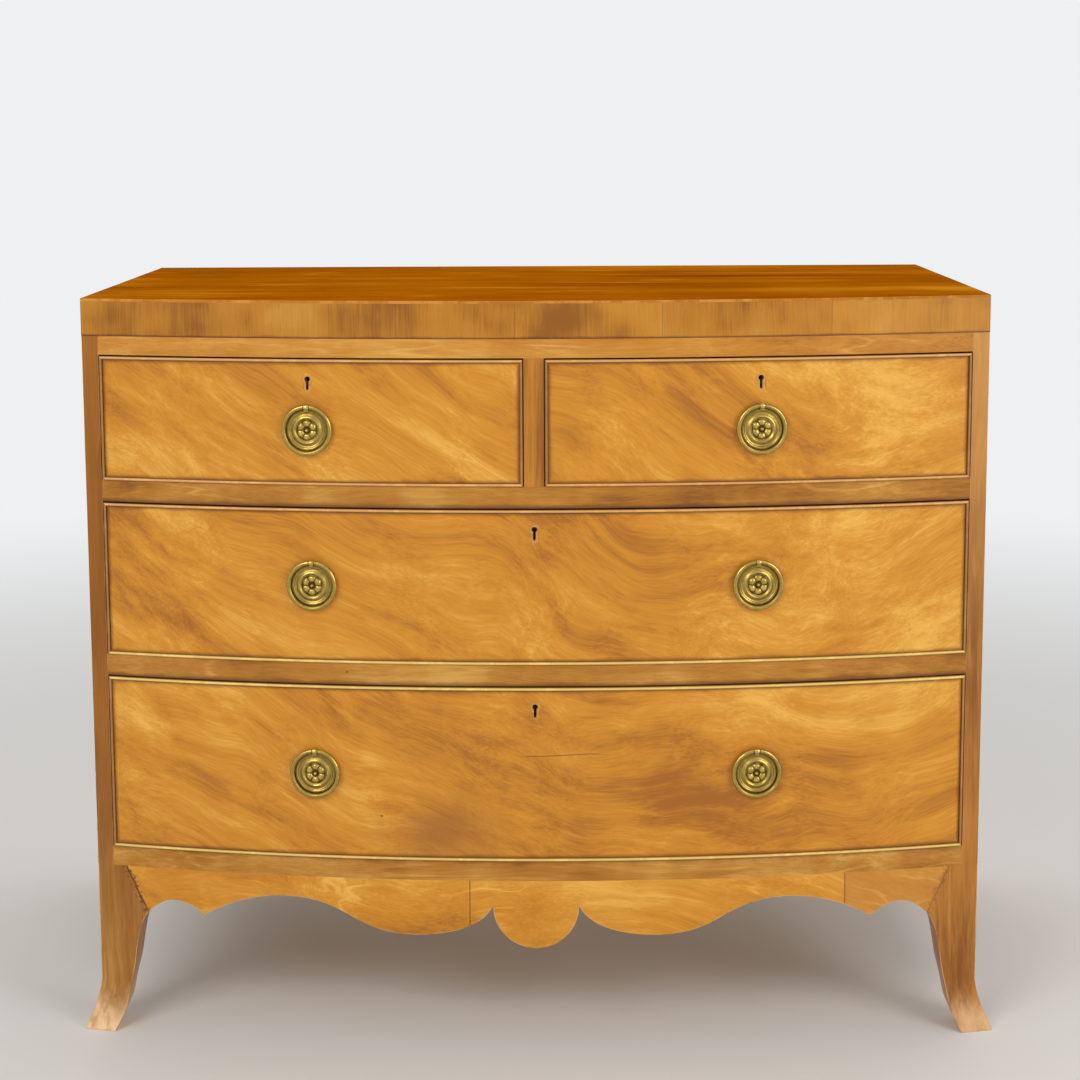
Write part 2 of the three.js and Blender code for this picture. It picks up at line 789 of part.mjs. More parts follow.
// A drawer bottom: a thin panel that slides in from the back
function drawerBottom(plan) {
  const [[, innerLow], [innerHigh]] = plan.sides;
  const reach = grooveDepth - fitGap;
  const top = drawerBottomLift + drawerBottomThickness;
  const outer = Math.max(Math.abs(innerLow), Math.abs(innerHigh));
  const shoulderY = bowY(outer, -frontThickness) + overrun;
  const nib = bowFrontBoard(
    innerLow + fitGap, innerHigh - fitGap, grooveDepth - frontThickness - fitGap, shoulderY + overrun,
    drawerBottomLift, top,
  );
  const panel = block(
    [innerLow - reach, shoulderY, drawerBottomLift], [innerHigh + reach, plan.rearY, top],
  );
  return nib.add(panel);
}

// The backplate's turned profile, as shares of its radius and of its height
const plateHeight = 6;
const plateEdge = 1.5;
const plateProfileShares = [
  [0, 1], [0.147, 0.5], [0.34, 0.88], [0.423, 0.4], [0.54, 0.76],
  [0.642, 0.66], [0.728, 0.36], [0.809, 0.62], [0.874, 0.6], [0.93, 0.25],
];

// A backplate with the knuckle that holds the ring, and the post and nut that hold
// the plate to the drawer front
function backplate() {
  const profile = [
    new THREE.Vector2(0, 0), new THREE.Vector2(plateRadius, 0), new THREE.Vector2(plateRadius, plateEdge),
    ...plateProfileShares.slice().reverse()
      .map(([r, h]) => new THREE.Vector2(r * plateRadius, h * plateHeight)),
  ];
  const turned = new THREE.LatheGeometry(profile, plateSteps).rotateX(Math.PI);
  const half = knuckleWidth / 2;
  const pivotZ = ringPivotHeight();
  const neckFoot = plateRadius - knuckleRadius;
  const neck = block(
    [-neckWidth / 2, -ringStandoff - knuckleRadius / 2, neckFoot], [neckWidth / 2, 0, pivotZ],
  );
  const knuckle = prism(round(-ringStandoff, pivotZ, knuckleRadius), 'x', -half, half);
  const bore = prism(round(-ringStandoff, pivotZ, pivotBoreRadius), 'x', -half - overrun, half + overrun);
  const nutY = frontThickness + fitGap;
  const post = prism(round(0, 0, postRadius), 'y', -plateEdge / 2, frontThickness + postReach);
  const nut = prism(
    rectangle(-nutWidth / 2, -nutWidth / 2, nutWidth / 2, nutWidth / 2), 'y', nutY, nutY + nutThickness,
  );
  return cut(joined(toSolid(turned), neck, knuckle, post, nut), bore);
}

// The ring's ends stop short of the knuckle, and its pivot lies in line with them
const ringStartAngle = Math.asin((knuckleWidth / 2 + fitGap) / ringRadius);
function ringPivotHeight() {
  return ringRadius * Math.cos(ringStartAngle);
}

// The ring: a round wire bent to an open circle, with a pin on each end that turns
// in the knuckle's bore. It is made about its pivot, and hangs down.
function pullRing() {
  const pivotZ = ringPivotHeight();
  const circle = (centre, across, radius) => {
    const ring = [];
    for (let i = 0; i < wireSides; i += 1) {
      const angle = 2 * Math.PI * i / wireSides;
      ring.push(centre.clone()
        .addScaledVector(across, radius * Math.cos(angle))
        .add(new THREE.Vector3(0, radius * Math.sin(angle), 0)));
    }
    return ring;
  };
  const upright = new THREE.Vector3(0, 0, 1);
  const start = knuckleWidth / 2 + fitGap;
  const pinAt = (x) => new THREE.Vector3(x, 0, 0);
  const rings = [
    circle(pinAt(start - pivotPinLength), upright, pivotPinRadius),
    circle(pinAt(start), upright, pivotPinRadius),
    circle(pinAt(start), upright, ringWireRadius),
  ];
  const sweep = 2 * (Math.PI - ringStartAngle);
  for (let i = 1; i < ringSteps; i += 1) {
    const angle = ringStartAngle + sweep * i / ringSteps;
    const across = new THREE.Vector3(Math.sin(angle), 0, Math.cos(angle));
    const centre = across.clone().multiplyScalar(ringRadius);
    centre.z -= pivotZ;
    rings.push(circle(centre, across, ringWireRadius));
  }
  const downwards = upright.clone().negate();
  rings.push(
    circle(pinAt(-start), downwards, ringWireRadius),
    circle(pinAt(-start), downwards, pivotPinRadius),
    circle(pinAt(pivotPinLength - start), downwards, pivotPinRadius),
  );
  const cap = rings[0].map(({ y, z }) => new THREE.Vector2(z, y));
  return loft(rings, cap);
}

// A group that carries a fitting square to the bow at a place on a drawer front
function fittingSeat(parent, x, z) {
  const seat = new THREE.Group();
  seat.position.set(x, bowY(x), z);
  seat.rotation.z = bowTurn(x);
  parent.add(seat);
  return seat;
}

function addRingPull(parent, name, { x, z }) {
  const seat = fittingSeat(parent, x, z);
  const plate = addPiece(seat, `${name}_backplate`, backplate(), 'brass');
  plate.position.y = -fineGap;
  const ring = addPiece(seat, `${name}_ring`, pullRing(), 'brass');
  ring.position.set(0, -ringStandoff - fineGap, ringPivotHeight());
}

function addLock(parent, name, x, z) {
  const seat = fittingSeat(parent, x, z);
  addPiece(seat, `${name}_lock_case`, lockCase(), 'steel');
  addPiece(seat, `${name}_lock_bolt`, lockBolt(), 'steel');
  addPiece(seat, `${name}_keyhole_lining`, keyholeLining(), 'brass');
}

// One whole drawer. Its pieces are made about its own floor.
function addDrawer(chest, drawer) {
  const plan = drawerPlan(drawer);
  const { name, keyholeX, handleXs, handleDrop } = drawer;
  const handleZ = drawer.opening / 2 - floorClearance - handleDrop;
  const handles = handleXs.map((x) => ({ x, z: handleZ }));
  const group = new THREE.Group();
  group.position.z = plan.baseZ;
  addPiece(group, `${name}_front`, drawerFront(plan, keyholeX, handles), 'figured');
  addPiece(group, `${name}_cock_bead`, cockBead(plan), 'bead');
  ['left', 'right'].forEach((side, i) => {
    addPiece(group, `${name}_side_${side}`, drawerSide(plan, plan.sides[i]), 'lining');
  });
  addPiece(group, `${name}_back`, drawerBack(plan), 'lining');
  addPiece(group, `${name}_bottom`, drawerBottom(plan), 'lining');
  addLock(group, name, keyholeX, plan.height - keyholeDrop);
  handles.forEach((handle, i) => {
    const place = handles.length > 1 ? ['_left', '_right'][i] : '';
    addRingPull(group, `${name}_pull${place}`, handle);
  });
  chest.add(group);
}

// The four drawers. The short ones have their ring pull and keyhole in the middle.
const dividerHalf = dividerWidth / 2;
const shortCentre = (dividerHalf + openingHalf) / 2;
const longHandles = [-longHandleSpacing / 2, longHandleSpacing / 2];
const drawers = [
  {
    name: 'drawer_top_left', left: -openingHalf, right: -dividerHalf, floor: upperLevel,
    opening: topOpening, keyholeX: -shortCentre, handleXs: [-shortCentre], handleDrop: topHandleDrop,
  },
  {
    name: 'drawer_top_right', left: dividerHalf, right: openingHalf, floor: upperLevel,
    opening: topOpening, keyholeX: shortCentre, handleXs: [shortCentre], handleDrop: topHandleDrop,
  },
  {
    name: 'drawer_middle', left: -openingHalf, right: openingHalf, floor: lowerLevel,
    opening: middleOpening, keyholeX: 0, handleXs: longHandles, handleDrop: 0,
  },
  {
    name: 'drawer_bottom', left: -openingHalf, right: openingHalf, floor: bottomLevel,
    opening: lowOpening, keyholeX: 0, handleXs: longHandles, handleDrop: lowHandleDrop,
  },
];

const chest = new THREE.Group();
const longStops = [-openingHalf / 2, openingHalf / 2];
addPiece(chest, 'top_board', topBoard(), 'top');
addPiece(chest, 'top_frame', cut(topFrame(), ...boltMortises([-shortCentre, shortCentre], topRailLevel)),
  'crossband');
addPiece(chest, 'shelf_upper',
  cut(shelf(upperLevel, upperRailHeight, [-shortCentre, shortCentre]),
    ...boltMortises([0], upperLevel - upperRailHeight)), 'rail');
addPiece(chest, 'shelf_lower',
  cut(shelf(lowerLevel, lowerRailHeight, longStops),
    ...boltMortises([0], lowerLevel - lowerRailHeight)), 'rail');
addPiece(chest, 'shelf_bottom', shelf(bottomLevel, bottomRailHeight, longStops), 'rail');
addPiece(chest, 'divider', divider(), 'rail');
addPiece(chest, 'side_left', carcaseSide(-1), 'side');
addPiece(chest, 'side_right', carcaseSide(1), 'side');
addPiece(chest, 'back_panel', backPanel(), 'lining');
addPiece(chest, 'apron', apron(), 'rail');
addPiece(chest, 'foot_front_left', frontFoot(-1), 'side');
addPiece(chest, 'foot_front_right', frontFoot(1), 'side');
drawers.forEach((drawer) => addDrawer(chest, drawer));

export default chest;
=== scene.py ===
# %% [markdown]
# # Bow front chest of drawers
# A mahogany chest with a gently bowed front: two short drawers over two long ones,
# on splayed feet with a shaped apron, and ring pulls on turned brass plates.
# The solid model is loaded as a fixed frame. Each step builds one piece or one finish
# around it, in metres, in the place of the solid it dresses.

# %% Load the frame
import math

import bmesh
import bpy
from mathutils import Matrix, Vector
from mathutils.geometry import interpolate_bezier


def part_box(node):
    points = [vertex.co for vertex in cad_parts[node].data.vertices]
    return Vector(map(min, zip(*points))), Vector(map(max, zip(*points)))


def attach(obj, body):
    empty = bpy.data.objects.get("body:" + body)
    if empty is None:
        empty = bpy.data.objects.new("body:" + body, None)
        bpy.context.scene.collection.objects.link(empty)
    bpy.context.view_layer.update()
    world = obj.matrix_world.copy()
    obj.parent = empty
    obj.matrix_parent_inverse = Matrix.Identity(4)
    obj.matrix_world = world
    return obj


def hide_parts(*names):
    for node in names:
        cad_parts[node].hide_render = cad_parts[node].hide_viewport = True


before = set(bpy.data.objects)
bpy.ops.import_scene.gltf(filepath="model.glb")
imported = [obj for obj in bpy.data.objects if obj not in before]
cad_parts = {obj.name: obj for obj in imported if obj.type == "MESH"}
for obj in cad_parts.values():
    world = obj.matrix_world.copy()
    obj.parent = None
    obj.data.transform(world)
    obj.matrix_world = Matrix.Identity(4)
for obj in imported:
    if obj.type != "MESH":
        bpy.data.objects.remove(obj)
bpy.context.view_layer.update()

# %% [markdown]
# ## Sizes that everything shares
# The front is an arc through both front corners. Its radius follows from the width of
# the chest and the depth of the bow, so a helper can say how far forward it stands at
# any place across the chest.

# %% Main sizes and the bow
MM = 0.001
HALF_WIDTH = 500 * MM
OPENING_HALF = 481 * MM
FOOT_HEIGHT = 192 * MM
BOW_DEPTH = 58 * MM
FRONT_CORNER = -219.5 * MM
BOW_RADIUS = (HALF_WIDTH ** 2 + BOW_DEPTH ** 2) / (2 * BOW_DEPTH)
BOW_CENTRE = FRONT_CORNER + BOW_RADIUS - BOW_DEPTH


def bow_y(x, out=0):
    """The place of the bowed front at x, or of a line that far in front of it."""
    return BOW_CENTRE - math.sqrt((BOW_RADIUS + out) ** 2 - x ** 2)


print("bow radius", round(BOW_RADIUS, 4), "crown at", round(bow_y(0), 4))

# %% [markdown]
# ## Camera
# The chest is seen from in front, a little right of its middle and just above its top.
# A long lens from nearly three metres keeps the sides upright, and a small shift holds
# the chest in the frame without tipping the camera more.

# %% Camera
EYE = Vector((0.0241, -2.5888, 1.0288))
PITCH, YAW, ROLL = 0.1330, 0.0177, -0.0056


def put_in_scene(name, data):
    """A new object in the scene, at the origin."""
    made = bpy.data.objects.new(name, data)
    bpy.context.scene.collection.objects.link(made)
    return made


camera_data = bpy.data.cameras.new("camera")
camera_data.sensor_width = 36
camera_data.lens = 72.08
camera_data.shift_x = 0.0202
camera_data.shift_y = -0.12
camera = put_in_scene("camera", camera_data)
look = Matrix.Rotation(YAW, 4, "Z") @ Matrix.Rotation(math.pi / 2 - PITCH, 4, "X")
camera.matrix_world = Matrix.Translation(EYE) @ look @ Matrix.Rotation(ROLL, 4, "Z")
bpy.context.scene.camera = camera
bpy.context.scene.view_settings.view_transform = "Standard"
print("camera at", [round(v, 3) for v in camera.location])

# %% [markdown]
# ## Helpers for shader nodes
# The floor and every finish are built from shader nodes. A node's outputs come back as
# signals, and a sum written on a signal adds the Math node that works it out, so that a
# finish reads like arithmetic.

# %% Signals
class Signal:
    """The output of a shader node, on which sums can be written."""

    def __init__(self, tree, socket):
        self.tree, self.socket = tree, socket

    def math(self, operation, other=0, clamp=False):
        return wire(self.tree, "Math", {0: self, 1: other}, operation=operation, use_clamp=clamp)[0]

    def __add__(self, other):
        return self.math("ADD", other)

    def __sub__(self, other):
        return self.math("SUBTRACT", other)

    def __mul__(self, other):
        return self.math("MULTIPLY", other)

    def __abs__(self):
        return self.math("ABSOLUTE")


def signals(tree, outputs):
    """A node's outputs, by number and by name."""
    made = {}
    for i, socket in enumerate(outputs):
        made[i] = made[socket.name] = Signal(tree, socket)
    return made


def linear(tone):
    """A tone as it is read on a screen, from 0 to 255, made linear for the shaders."""
    shares = [part / 255 for part in tone]
    return (*(share / 12.92 if share <= 0.04045 else ((share + 0.055) / 1.055) ** 2.4
              for share in shares), 1)


def fill(inputs, values):
    """Links each input of a node to its signal, or sets it to its plain value. A colour
    of three numbers is a tone, and one of four is linear already."""
    for key, value in values.items():
        if isinstance(value, Signal):
            value.tree.links.new(value.socket, inputs[key])
        elif inputs[key].type == "RGBA" and len(value) == 3:
            inputs[key].default_value = linear(value)
        else:
            inputs[key].default_value = value


def wire(tree, kind, values=None, **settings):
    """Adds a shader node, sets it, fills its inputs, and hands back its outputs."""
    node = tree.nodes.new("ShaderNode" + kind)
    for name, value in settings.items():
        setattr(node, name, value)
    fill(node.inputs, values or {})
    return signals(tree, node.outputs)


print("signals ready")


# %% Node helpers
def ramp(value, low, high, to_low=0, to_high=1):
    """A smooth step of a value between two levels."""
    return wire(value.tree, "MapRange", {"Value": value, "From Min": low, "From Max": high,
                                         "To Min": to_low, "To Max": to_high},
                interpolation_type="SMOOTHSTEP")[0]


def blend(factor, first, second):
    tree = next(part.tree for part in (factor, first, second) if isinstance(part, Signal))
    return wire(tree, "Mix", {0: factor, 6: first, 7: second}, data_type="RGBA")[2]


def noise(place, scale=1, detail=2, rough=0.5, output="Fac"):
    return wire(place.tree, "TexNoise", {"Vector": place, "Scale": scale, "Detail": detail,
                                         "Roughness": rough})[output]


def stretch(place, sizes, turn=(0, 0, 0), shift=(0, 0, 0)):
    return wire(place.tree, "Mapping", {"Vector": place, "Scale": sizes, "Rotation": turn,
                                        "Location": shift})["Vector"]


def parts(place):
    """The X, Y and Z of a place."""
    return wire(place.tree, "SeparateXYZ", {0: place})


def vectors(operation, first, second):
    return wire(first.tree, "VectorMath", {0: first, 1: second}, operation=operation)[0]


def length_of(place):
    return wire(place.tree, "VectorMath", {0: place}, operation="LENGTH")["Value"]


def seen_directly(tree):
    """1 for rays of the camera, also when they are mirrored or pass something clear."""
    rays = wire(tree, "LightPath")
    mirrored = rays["Is Glossy Ray"].math("MAXIMUM", rays["Is Transmission Ray"])
    return rays["Is Camera Ray"].math("MAXIMUM", mirrored)


def blank_finish(name):
    """A new material, the inputs of its shader, and the place on a piece."""
    made = bpy.data.materials.new(name)
    made.use_nodes = True
    tree = made.node_tree
    return made, tree.nodes["Principled BSDF"].inputs, wire(tree, "TexCoord")["Object"]


print("node helpers ready")

# %% [markdown]
# ## Floor and light
# A plain pale floor and three wide soft lamps, as in a studio. What the camera sees of
# the world is set apart from the light it gives, so the background can be pale while
# the wood keeps its tone. Far off, the floor takes the tone of the world, so that no
# horizon cuts across the picture. Near the chest it keeps its shadow.

# %% World
WORLD_TONE = (0.86, 0.87, 0.88, 1)
WORLD_LIGHT = 0.55
world = bpy.data.worlds.new("studio")
bpy.context.scene.world = world
world.use_nodes = True
seen = ramp(seen_directly(world.node_tree), 0, 1, WORLD_LIGHT, 1)
fill(world.node_tree.nodes["Background"].inputs, {"Color": WORLD_TONE, "Strength": seen})
print("world light", WORLD_LIGHT)

# %% Floor
FLOOR_TONE = (0.80, 0.79, 0.77, 1)
FLOOR_REACH = 9
FADE_START, FADE_END = 0.9, 3.4
BLACK = (0, 0, 0, 1)

floor_mesh = bmesh.new()
bmesh.ops.create_grid(floor_mesh, x_segments=1, y_segments=1, size=FLOOR_REACH)
floor_data = bpy.data.meshes.new("floor")
floor_mesh.to_mesh(floor_data)
floor_mesh.free()
floor = put_in_scene("floor", floor_data)
floor_finish, shader, place = blank_finish("pale_floor")
faded = ramp(length_of(place), FADE_START, FADE_END) * seen_directly(place.tree)
fill(shader, {"Base Color": blend(faded, FLOOR_TONE, BLACK),
              "Emission Color": blend(faded, BLACK, WORLD_TONE), "Emission Strength": 1,
              "Roughness": 0.7, "Specular IOR Level": 0})
floor_data.materials.append(floor_finish)
print("floor", 2 * FLOOR_REACH, "m across")

# %% Lamps
MIDDLE = (0, 0, 0.42)
WARM_WHITE = (1, 0.98, 0.95)
# name, place, width, height and power
lamp_rows = [
    ("key", (-1.7, -2.6, 2.3), 1.8, 1.2, 37),
    ("fill", (2.4, -2.2, 1.5), 1.6, 1.6, 32),
    ("overhead", (0.2, 0.6, 2.9), 2.4, 1.2, 22),
]
for name, place, width, height, power in lamp_rows:
    lamp_data = bpy.data.lights.new(name, "AREA")
    lamp_data.shape = "RECTANGLE"
    lamp_data.size, lamp_data.size_y = width, height
    lamp_data.energy = power
    lamp_data.color = WARM_WHITE
    lamp = put_in_scene(name, lamp_data)
    turn = (Vector(MIDDLE) - Vector(place)).to_track_quat("-Z", "Y").to_matrix().to_4x4()
    lamp.matrix_world = Matrix.Translation(place) @ turn
    print(name, power, "W")

# %% [markdown]
# ## Wood
# All the wood shares one pattern, made from noise. Mahogany has fine fibres along the
# grain, broader bands of light and dark, short dark pores, and thin bright streaks
# where the figure catches the light. The place is bent by slow noise and stretched
# along the grain, and each layer of noise reads that. It is a node group, so each
# piece sets its own sway, tones and strength of figure.

# %% Making groups
def new_group(name, taken, given):
    """A new node group, the signals that it takes and the inputs of what it gives. Each
    group takes a place, as its vector."""
    group = bpy.data.node_groups.new(name, "ShaderNodeTree")
    for side, sockets in (("INPUT", {"Vector": "Vector", **taken}), ("OUTPUT", given)):
        for label, kind in sockets.items():
            group.interface.new_socket(label, in_out=side, socket_type="NodeSocket" + kind)
    start, end = group.nodes.new("NodeGroupInput"), group.nodes.new("NodeGroupOutput")
    return group, signals(group, start.outputs), end.inputs


def place_group(place, group, values):
    """Places a group in a material, with the place on the piece as its vector."""
    return wire(place.tree, "Group", {"Vector": place, **values}, node_tree=group)


print("group helpers ready")

# %% The grain group
grain, taken, given = new_group("mahogany_grain", {
    "Sway": "Float", "Figure": "Float", "Dark": "Color", "Mid": "Color", "Light": "Color",
    "Blotch": "Float", "Streak": "Float",
}, {"Color": "Color", "Roughness": "Float", "Height": "Float"})
# Each layer of noise: how fine it is along and across the grain, its shift on the
# sheet, its detail and its roughness
grain_layers = {
    "flames": (1.6, 8.5, (2.0, 6.0, 4.0), 2.0, 0.5),
    "bands": (2.4, 22.0, (0.0, 0.0, 0.0), 3.0, 0.55),
    "veins": (5.0, 75.0, (0.0, 0.0, 0.0), 4.0, 0.6),
    "fibres": (16.0, 520.0, (0.0, 0.0, 0.0), 3.0, 0.6),
    "pores": (70.0, 1500.0, (3.0, 1.0, 2.0), 1.0, 0.5),
    "streaks": (2.6, 42.0, (7.0, 5.0, 1.0), 2.0, 0.5),
}


def bent(place, scale, amount):
    """A place moved by slow noise, so that a straight pattern on it sways."""
    slow = noise(place, scale, 1.5, output="Color")
    centred = vectors("SUBTRACT", slow, (0.5, 0.5, 0.5))
    moved = wire(place.tree, "VectorMath", {0: centred, "Scale": amount}, operation="SCALE")[0]
    return vectors("ADD", place, moved)


swayed = bent(taken["Vector"], 2.6, taken["Sway"])
swayed = bent(swayed, 9, taken["Sway"] * 0.16)
layer = {name: noise(stretch(swayed, (along, across, across), shift=shift), 1, detail, rough)
         for name, (along, across, shift, detail, rough) in grain_layers.items()}
pores = ramp(layer["pores"], 0.64, 0.76)
patches = noise(taken["Vector"], 7, 3, 0.6)
# The bright streaks are painted sheen, where the figure catches the light
# A streak follows the line along which its noise crosses its middle value
streaks = (ramp(abs(layer["streaks"] - 0.5), 0.045, 0)
           * ramp(noise(taken["Vector"], 11), 0.42, 0.66))
tone = (layer["bands"] - 0.5) * taken["Figure"] + 0.5
tone = tone + (layer["flames"] - 0.5) * (taken["Figure"] * 1.15)
tone = tone + (layer["veins"] - 0.5) * (taken["Figure"] * 0.75)
tone = tone + (layer["fibres"] - 0.5) * 0.34
tone = tone + (patches - 0.5) * taken["Blotch"]
tone = tone.math("ADD", streaks * taken["Streak"], clamp=True)
warm = blend(ramp(tone, 0.2, 0.55), taken["Dark"], taken["Mid"])
honey = blend(ramp(tone, 0.48, 0.85), warm, taken["Light"])
fill(given, {"Color": blend(pores * 0.35, honey, taken["Dark"]),
             "Roughness": ramp(layer["fibres"], 0.3, 0.7, 0.30, 0.42),
             "Height": layer["fibres"] * 0.4 - pores})
print("grain group:", len(grain.nodes), "nodes")

# %% [markdown]
# ## Edges and joins
# Polish and dust darken the border of each panel, and painted shade darkens it too, where
# a panel meets a proud bead or another part. Hands rub the sharp edges pale, and the pale
# edge is also a painted highlight where an edge would catch the light. The first group
# darkens near the border of a box, with noise so that the line isn't ruled. The second
# reads the attribute that the bevels leave behind. The third is for veneer in short
# lengths, which differ a little in tone, with a thin seam between them.

# %% Edge and join groups
# Darkens near the border of a box: dirt, and painted shade where a panel meets a bead
border, taken, given = new_group("border_dirt_and_shade", {
    "Low": "Vector", "High": "Vector", "Width": "Float"}, {"Mask": "Float"})
gaps = []
for first, second in (("Vector", "Low"), ("High", "Vector")):
    split = parts(vectors("SUBTRACT", taken[first], taken[second]))
    gaps += [split["X"], split["Z"]]
nearest = gaps[0]
for gap in gaps[1:]:
    nearest = nearest.math("MINIMUM", gap)
ragged = noise(taken["Vector"], 26, 3, 0.6) * 2
fill(given, {"Mask": ramp(nearest, 0, taken["Width"] * ragged, 1, 0)})

# Pale edges, read from the faces' marks: wear, and a painted highlight where an edge catches the
# light
wear_and_highlight_group, taken, given = new_group("edge_wear_and_highlight_mask", {"Amount": "Float", "Even": "Float"},
                               {"Mask": "Float"})
wear_and_highlight = wire(wear_and_highlight_group, "Attribute", attribute_name="wear_and_highlight")["Fac"]
broken = ramp(noise(taken["Vector"], 38, 4, 0.65), 0.34, 0.62).math("MAXIMUM", taken["Even"])
fill(given, {"Mask": wear_and_highlight * broken * taken["Amount"]})

joins, taken, given = new_group("veneer_lengths", {"Length": "Float"},
                                {"Tone": "Float", "Seam": "Float"})
place = parts(taken["Vector"])["X"].math("DIVIDE", taken["Length"])
cells, cell_edges = (wire(joins, "TexVoronoi", {"W": place, "Scale": 1}, feature=feature,
                          voronoi_dimensions="1D") for feature in ("F1", "DISTANCE_TO_EDGE"))
fill(given, {"Tone": wire(joins, "SeparateColor", {0: cells["Color"]})[0],
             "Seam": ramp(cell_edges["Distance"], 0.006, 0)})
print("groups:", border.name, wear_and_highlight_group.name, joins.name)

# %% [markdown]
# ## Finishes
# One function makes each wood finish from the groups. The fall of a figure is a slope
# at the middle of the chest and how much it changes across it, because the veneer was
# cut from a fork, where the grain fans out. Gloss and coat are plain numbers on the
# shader, because they are the same all over a piece.

# %% Marks on the wood
# The pale tone of worn edges, which is also a painted highlight
WEAR_AND_HIGHLIGHT_TONE = (226, 176, 118)
# A dark tone for dirt and dark joints, and for painted shade along borders
DIRT_AND_SHADE_TONE = (74, 34, 10)
KNOT_TONE = (96, 50, 18)
SCUFFED_TONE = (250, 208, 158)
LENGTH_TINT = 0.12
LENGTH_SEAM = 0.3
ALONG_X = (0, 0, 0)
ALONG_Y = (0, 0, math.radians(90))
ALONG_Z = (0, math.radians(90), 0)


def fallen(place, slope, fan):
    """A place sheared so that grain along X falls by the slope, which fans across X."""
    split = parts(place)
    lifted = split["Z"] - split["X"] * (split["X"] * (fan / 2) + slope)
    return wire(place.tree, "CombineXYZ", {0: split["X"], 1: split["Y"], 2: lifted})[0]


def figured(place, tones, turn, shift, sway, figure, blotch, streak):
    """The grain group on a turned and shifted sheet."""
    return place_group(stretch(place, (1, 1, 1), turn, shift), grain, {
        "Sway": sway, "Figure": figure, "Blotch": blotch, "Streak": streak,
        "Dark": tones[0], "Mid": tones[1], "Light": tones[2]})


def in_lengths(colour, place, length, tones):
    """Tints short lengths of veneer, and draws the seams between them."""
    group = place_group(place, joins, {"Length": length})
    colour = blend(ramp(group["Tone"], 0.1, 0.9, 0, LENGTH_TINT), colour, tones[2])
    colour = blend(ramp(group["Tone"], 0.1, 0.5, LENGTH_TINT, 0), colour, tones[0])
    return blend(group["Seam"] * LENGTH_SEAM, colour, DIRT_AND_SHADE_TONE)


def knotted(colour, place, shift, strength):
    """Dark spots, one in each cell of a stretched pattern."""
    cells = wire(place.tree, "TexVoronoi", {
        "Vector": stretch(place, (11, 1, 15), shift=shift), "Scale": 1, "Randomness": 1})
    return blend(ramp(cells["Distance"], 0.012, 0.03, 1, 0) * strength, colour, KNOT_TONE)


def scuffed_below(colour, place, height, strength):
    """Wood worn pale below a height, in scuffs."""
    uneven = parts(place)["Z"] + noise(place, 30, 3) * (50 * MM)
    scuffs = noise(stretch(place, (90, 90, 14)), 1, 4, 0.65)
    worn = (ramp(uneven, height + 30 * MM, height - 15 * MM)
            * ramp(scuffs, 0.3, 0.62, 0.4 * strength, strength))
    return blend(worn, colour, SCUFFED_TONE)


print("marks ready")


# %% Wood finishes
def wood(name, tones, turn=ALONG_X, shift=(0, 0, 0), sway=0.03, figure=0.5, blotch=0.5,
         streak=0.15, fall=None, lengths=None, patch=None, seams=(), knots=0, panel=None,
         dirt_and_shade_width=8 * MM, dirt_and_shade_strength=0.55, rise=None, pale_below=None, edge_wear_and_highlight=0.8,
         wear_and_highlight_tone=WEAR_AND_HIGHLIGHT_TONE, wear_and_highlight_even=0, gloss=0, coat=0.08, specular=0.3):
    """A polished wood. Fall is a slope and a fan. Patch is a rule that gives a mask, a
    dark line and a colour for a second wood let into this one. Seams are places across
    the chest where two sheets meet. Panel is two corners of a box whose border is darkened
    with dirt and painted shade. Rise is two heights between which the tone changes, the
    new tone and its strength. Pale_below is a height and how pale the wood is below it.
    The pale edges are wear and a painted highlight."""
    made, shader, place = blank_finish(name)
    sheet = fallen(place, *fall) if fall else place
    pattern = figured(sheet, tones, turn, shift, sway, figure, blotch, streak)
    colour = pattern["Color"]
    if lengths:
        colour = in_lengths(colour, place, lengths, tones)
    if patch:
        mask, dark_line, second = patch(place)
        colour = blend(dark_line, blend(mask, colour, second), DIRT_AND_SHADE_TONE)
    for seam_x in seams:
        off = abs(parts(place)["X"] - seam_x)
        colour = blend(ramp(off, 0.9 * MM, 0.2 * MM, 0, 0.75), colour, DIRT_AND_SHADE_TONE)
    if knots:
        colour = knotted(colour, place, shift, knots)
    if panel:
        # Dirt and painted shade along the panel's border
        edge = place_group(place, border, {"Low": panel[0], "High": panel[1], "Width": dirt_and_shade_width})
        colour = blend(edge["Mask"] * dirt_and_shade_strength, colour, DIRT_AND_SHADE_TONE)
    if rise:
        low, high, risen_tone, strength = rise
        colour = blend(ramp(parts(place)["Z"], low, high, 0, strength), colour, risen_tone)
    if pale_below:
        colour = scuffed_below(colour, place, *pale_below)
    # Pale edges: wear and a painted highlight
    edge = place_group(place, wear_and_highlight_group, {"Amount": edge_wear_and_highlight, "Even": wear_and_highlight_even})
    bump = wire(place.tree, "Bump", {"Height": pattern["Height"], "Strength": 0.12,
                                     "Distance": 0.4 * MM})
    fill(shader, {"Base Color": blend(edge["Mask"], colour, wear_and_highlight_tone),
                  "Roughness": pattern["Roughness"] + gloss, "Normal": bump["Normal"],
                  "Coat Weight": coat, "Coat Roughness": 0.12, "Specular IOR Level": specular})
    return made


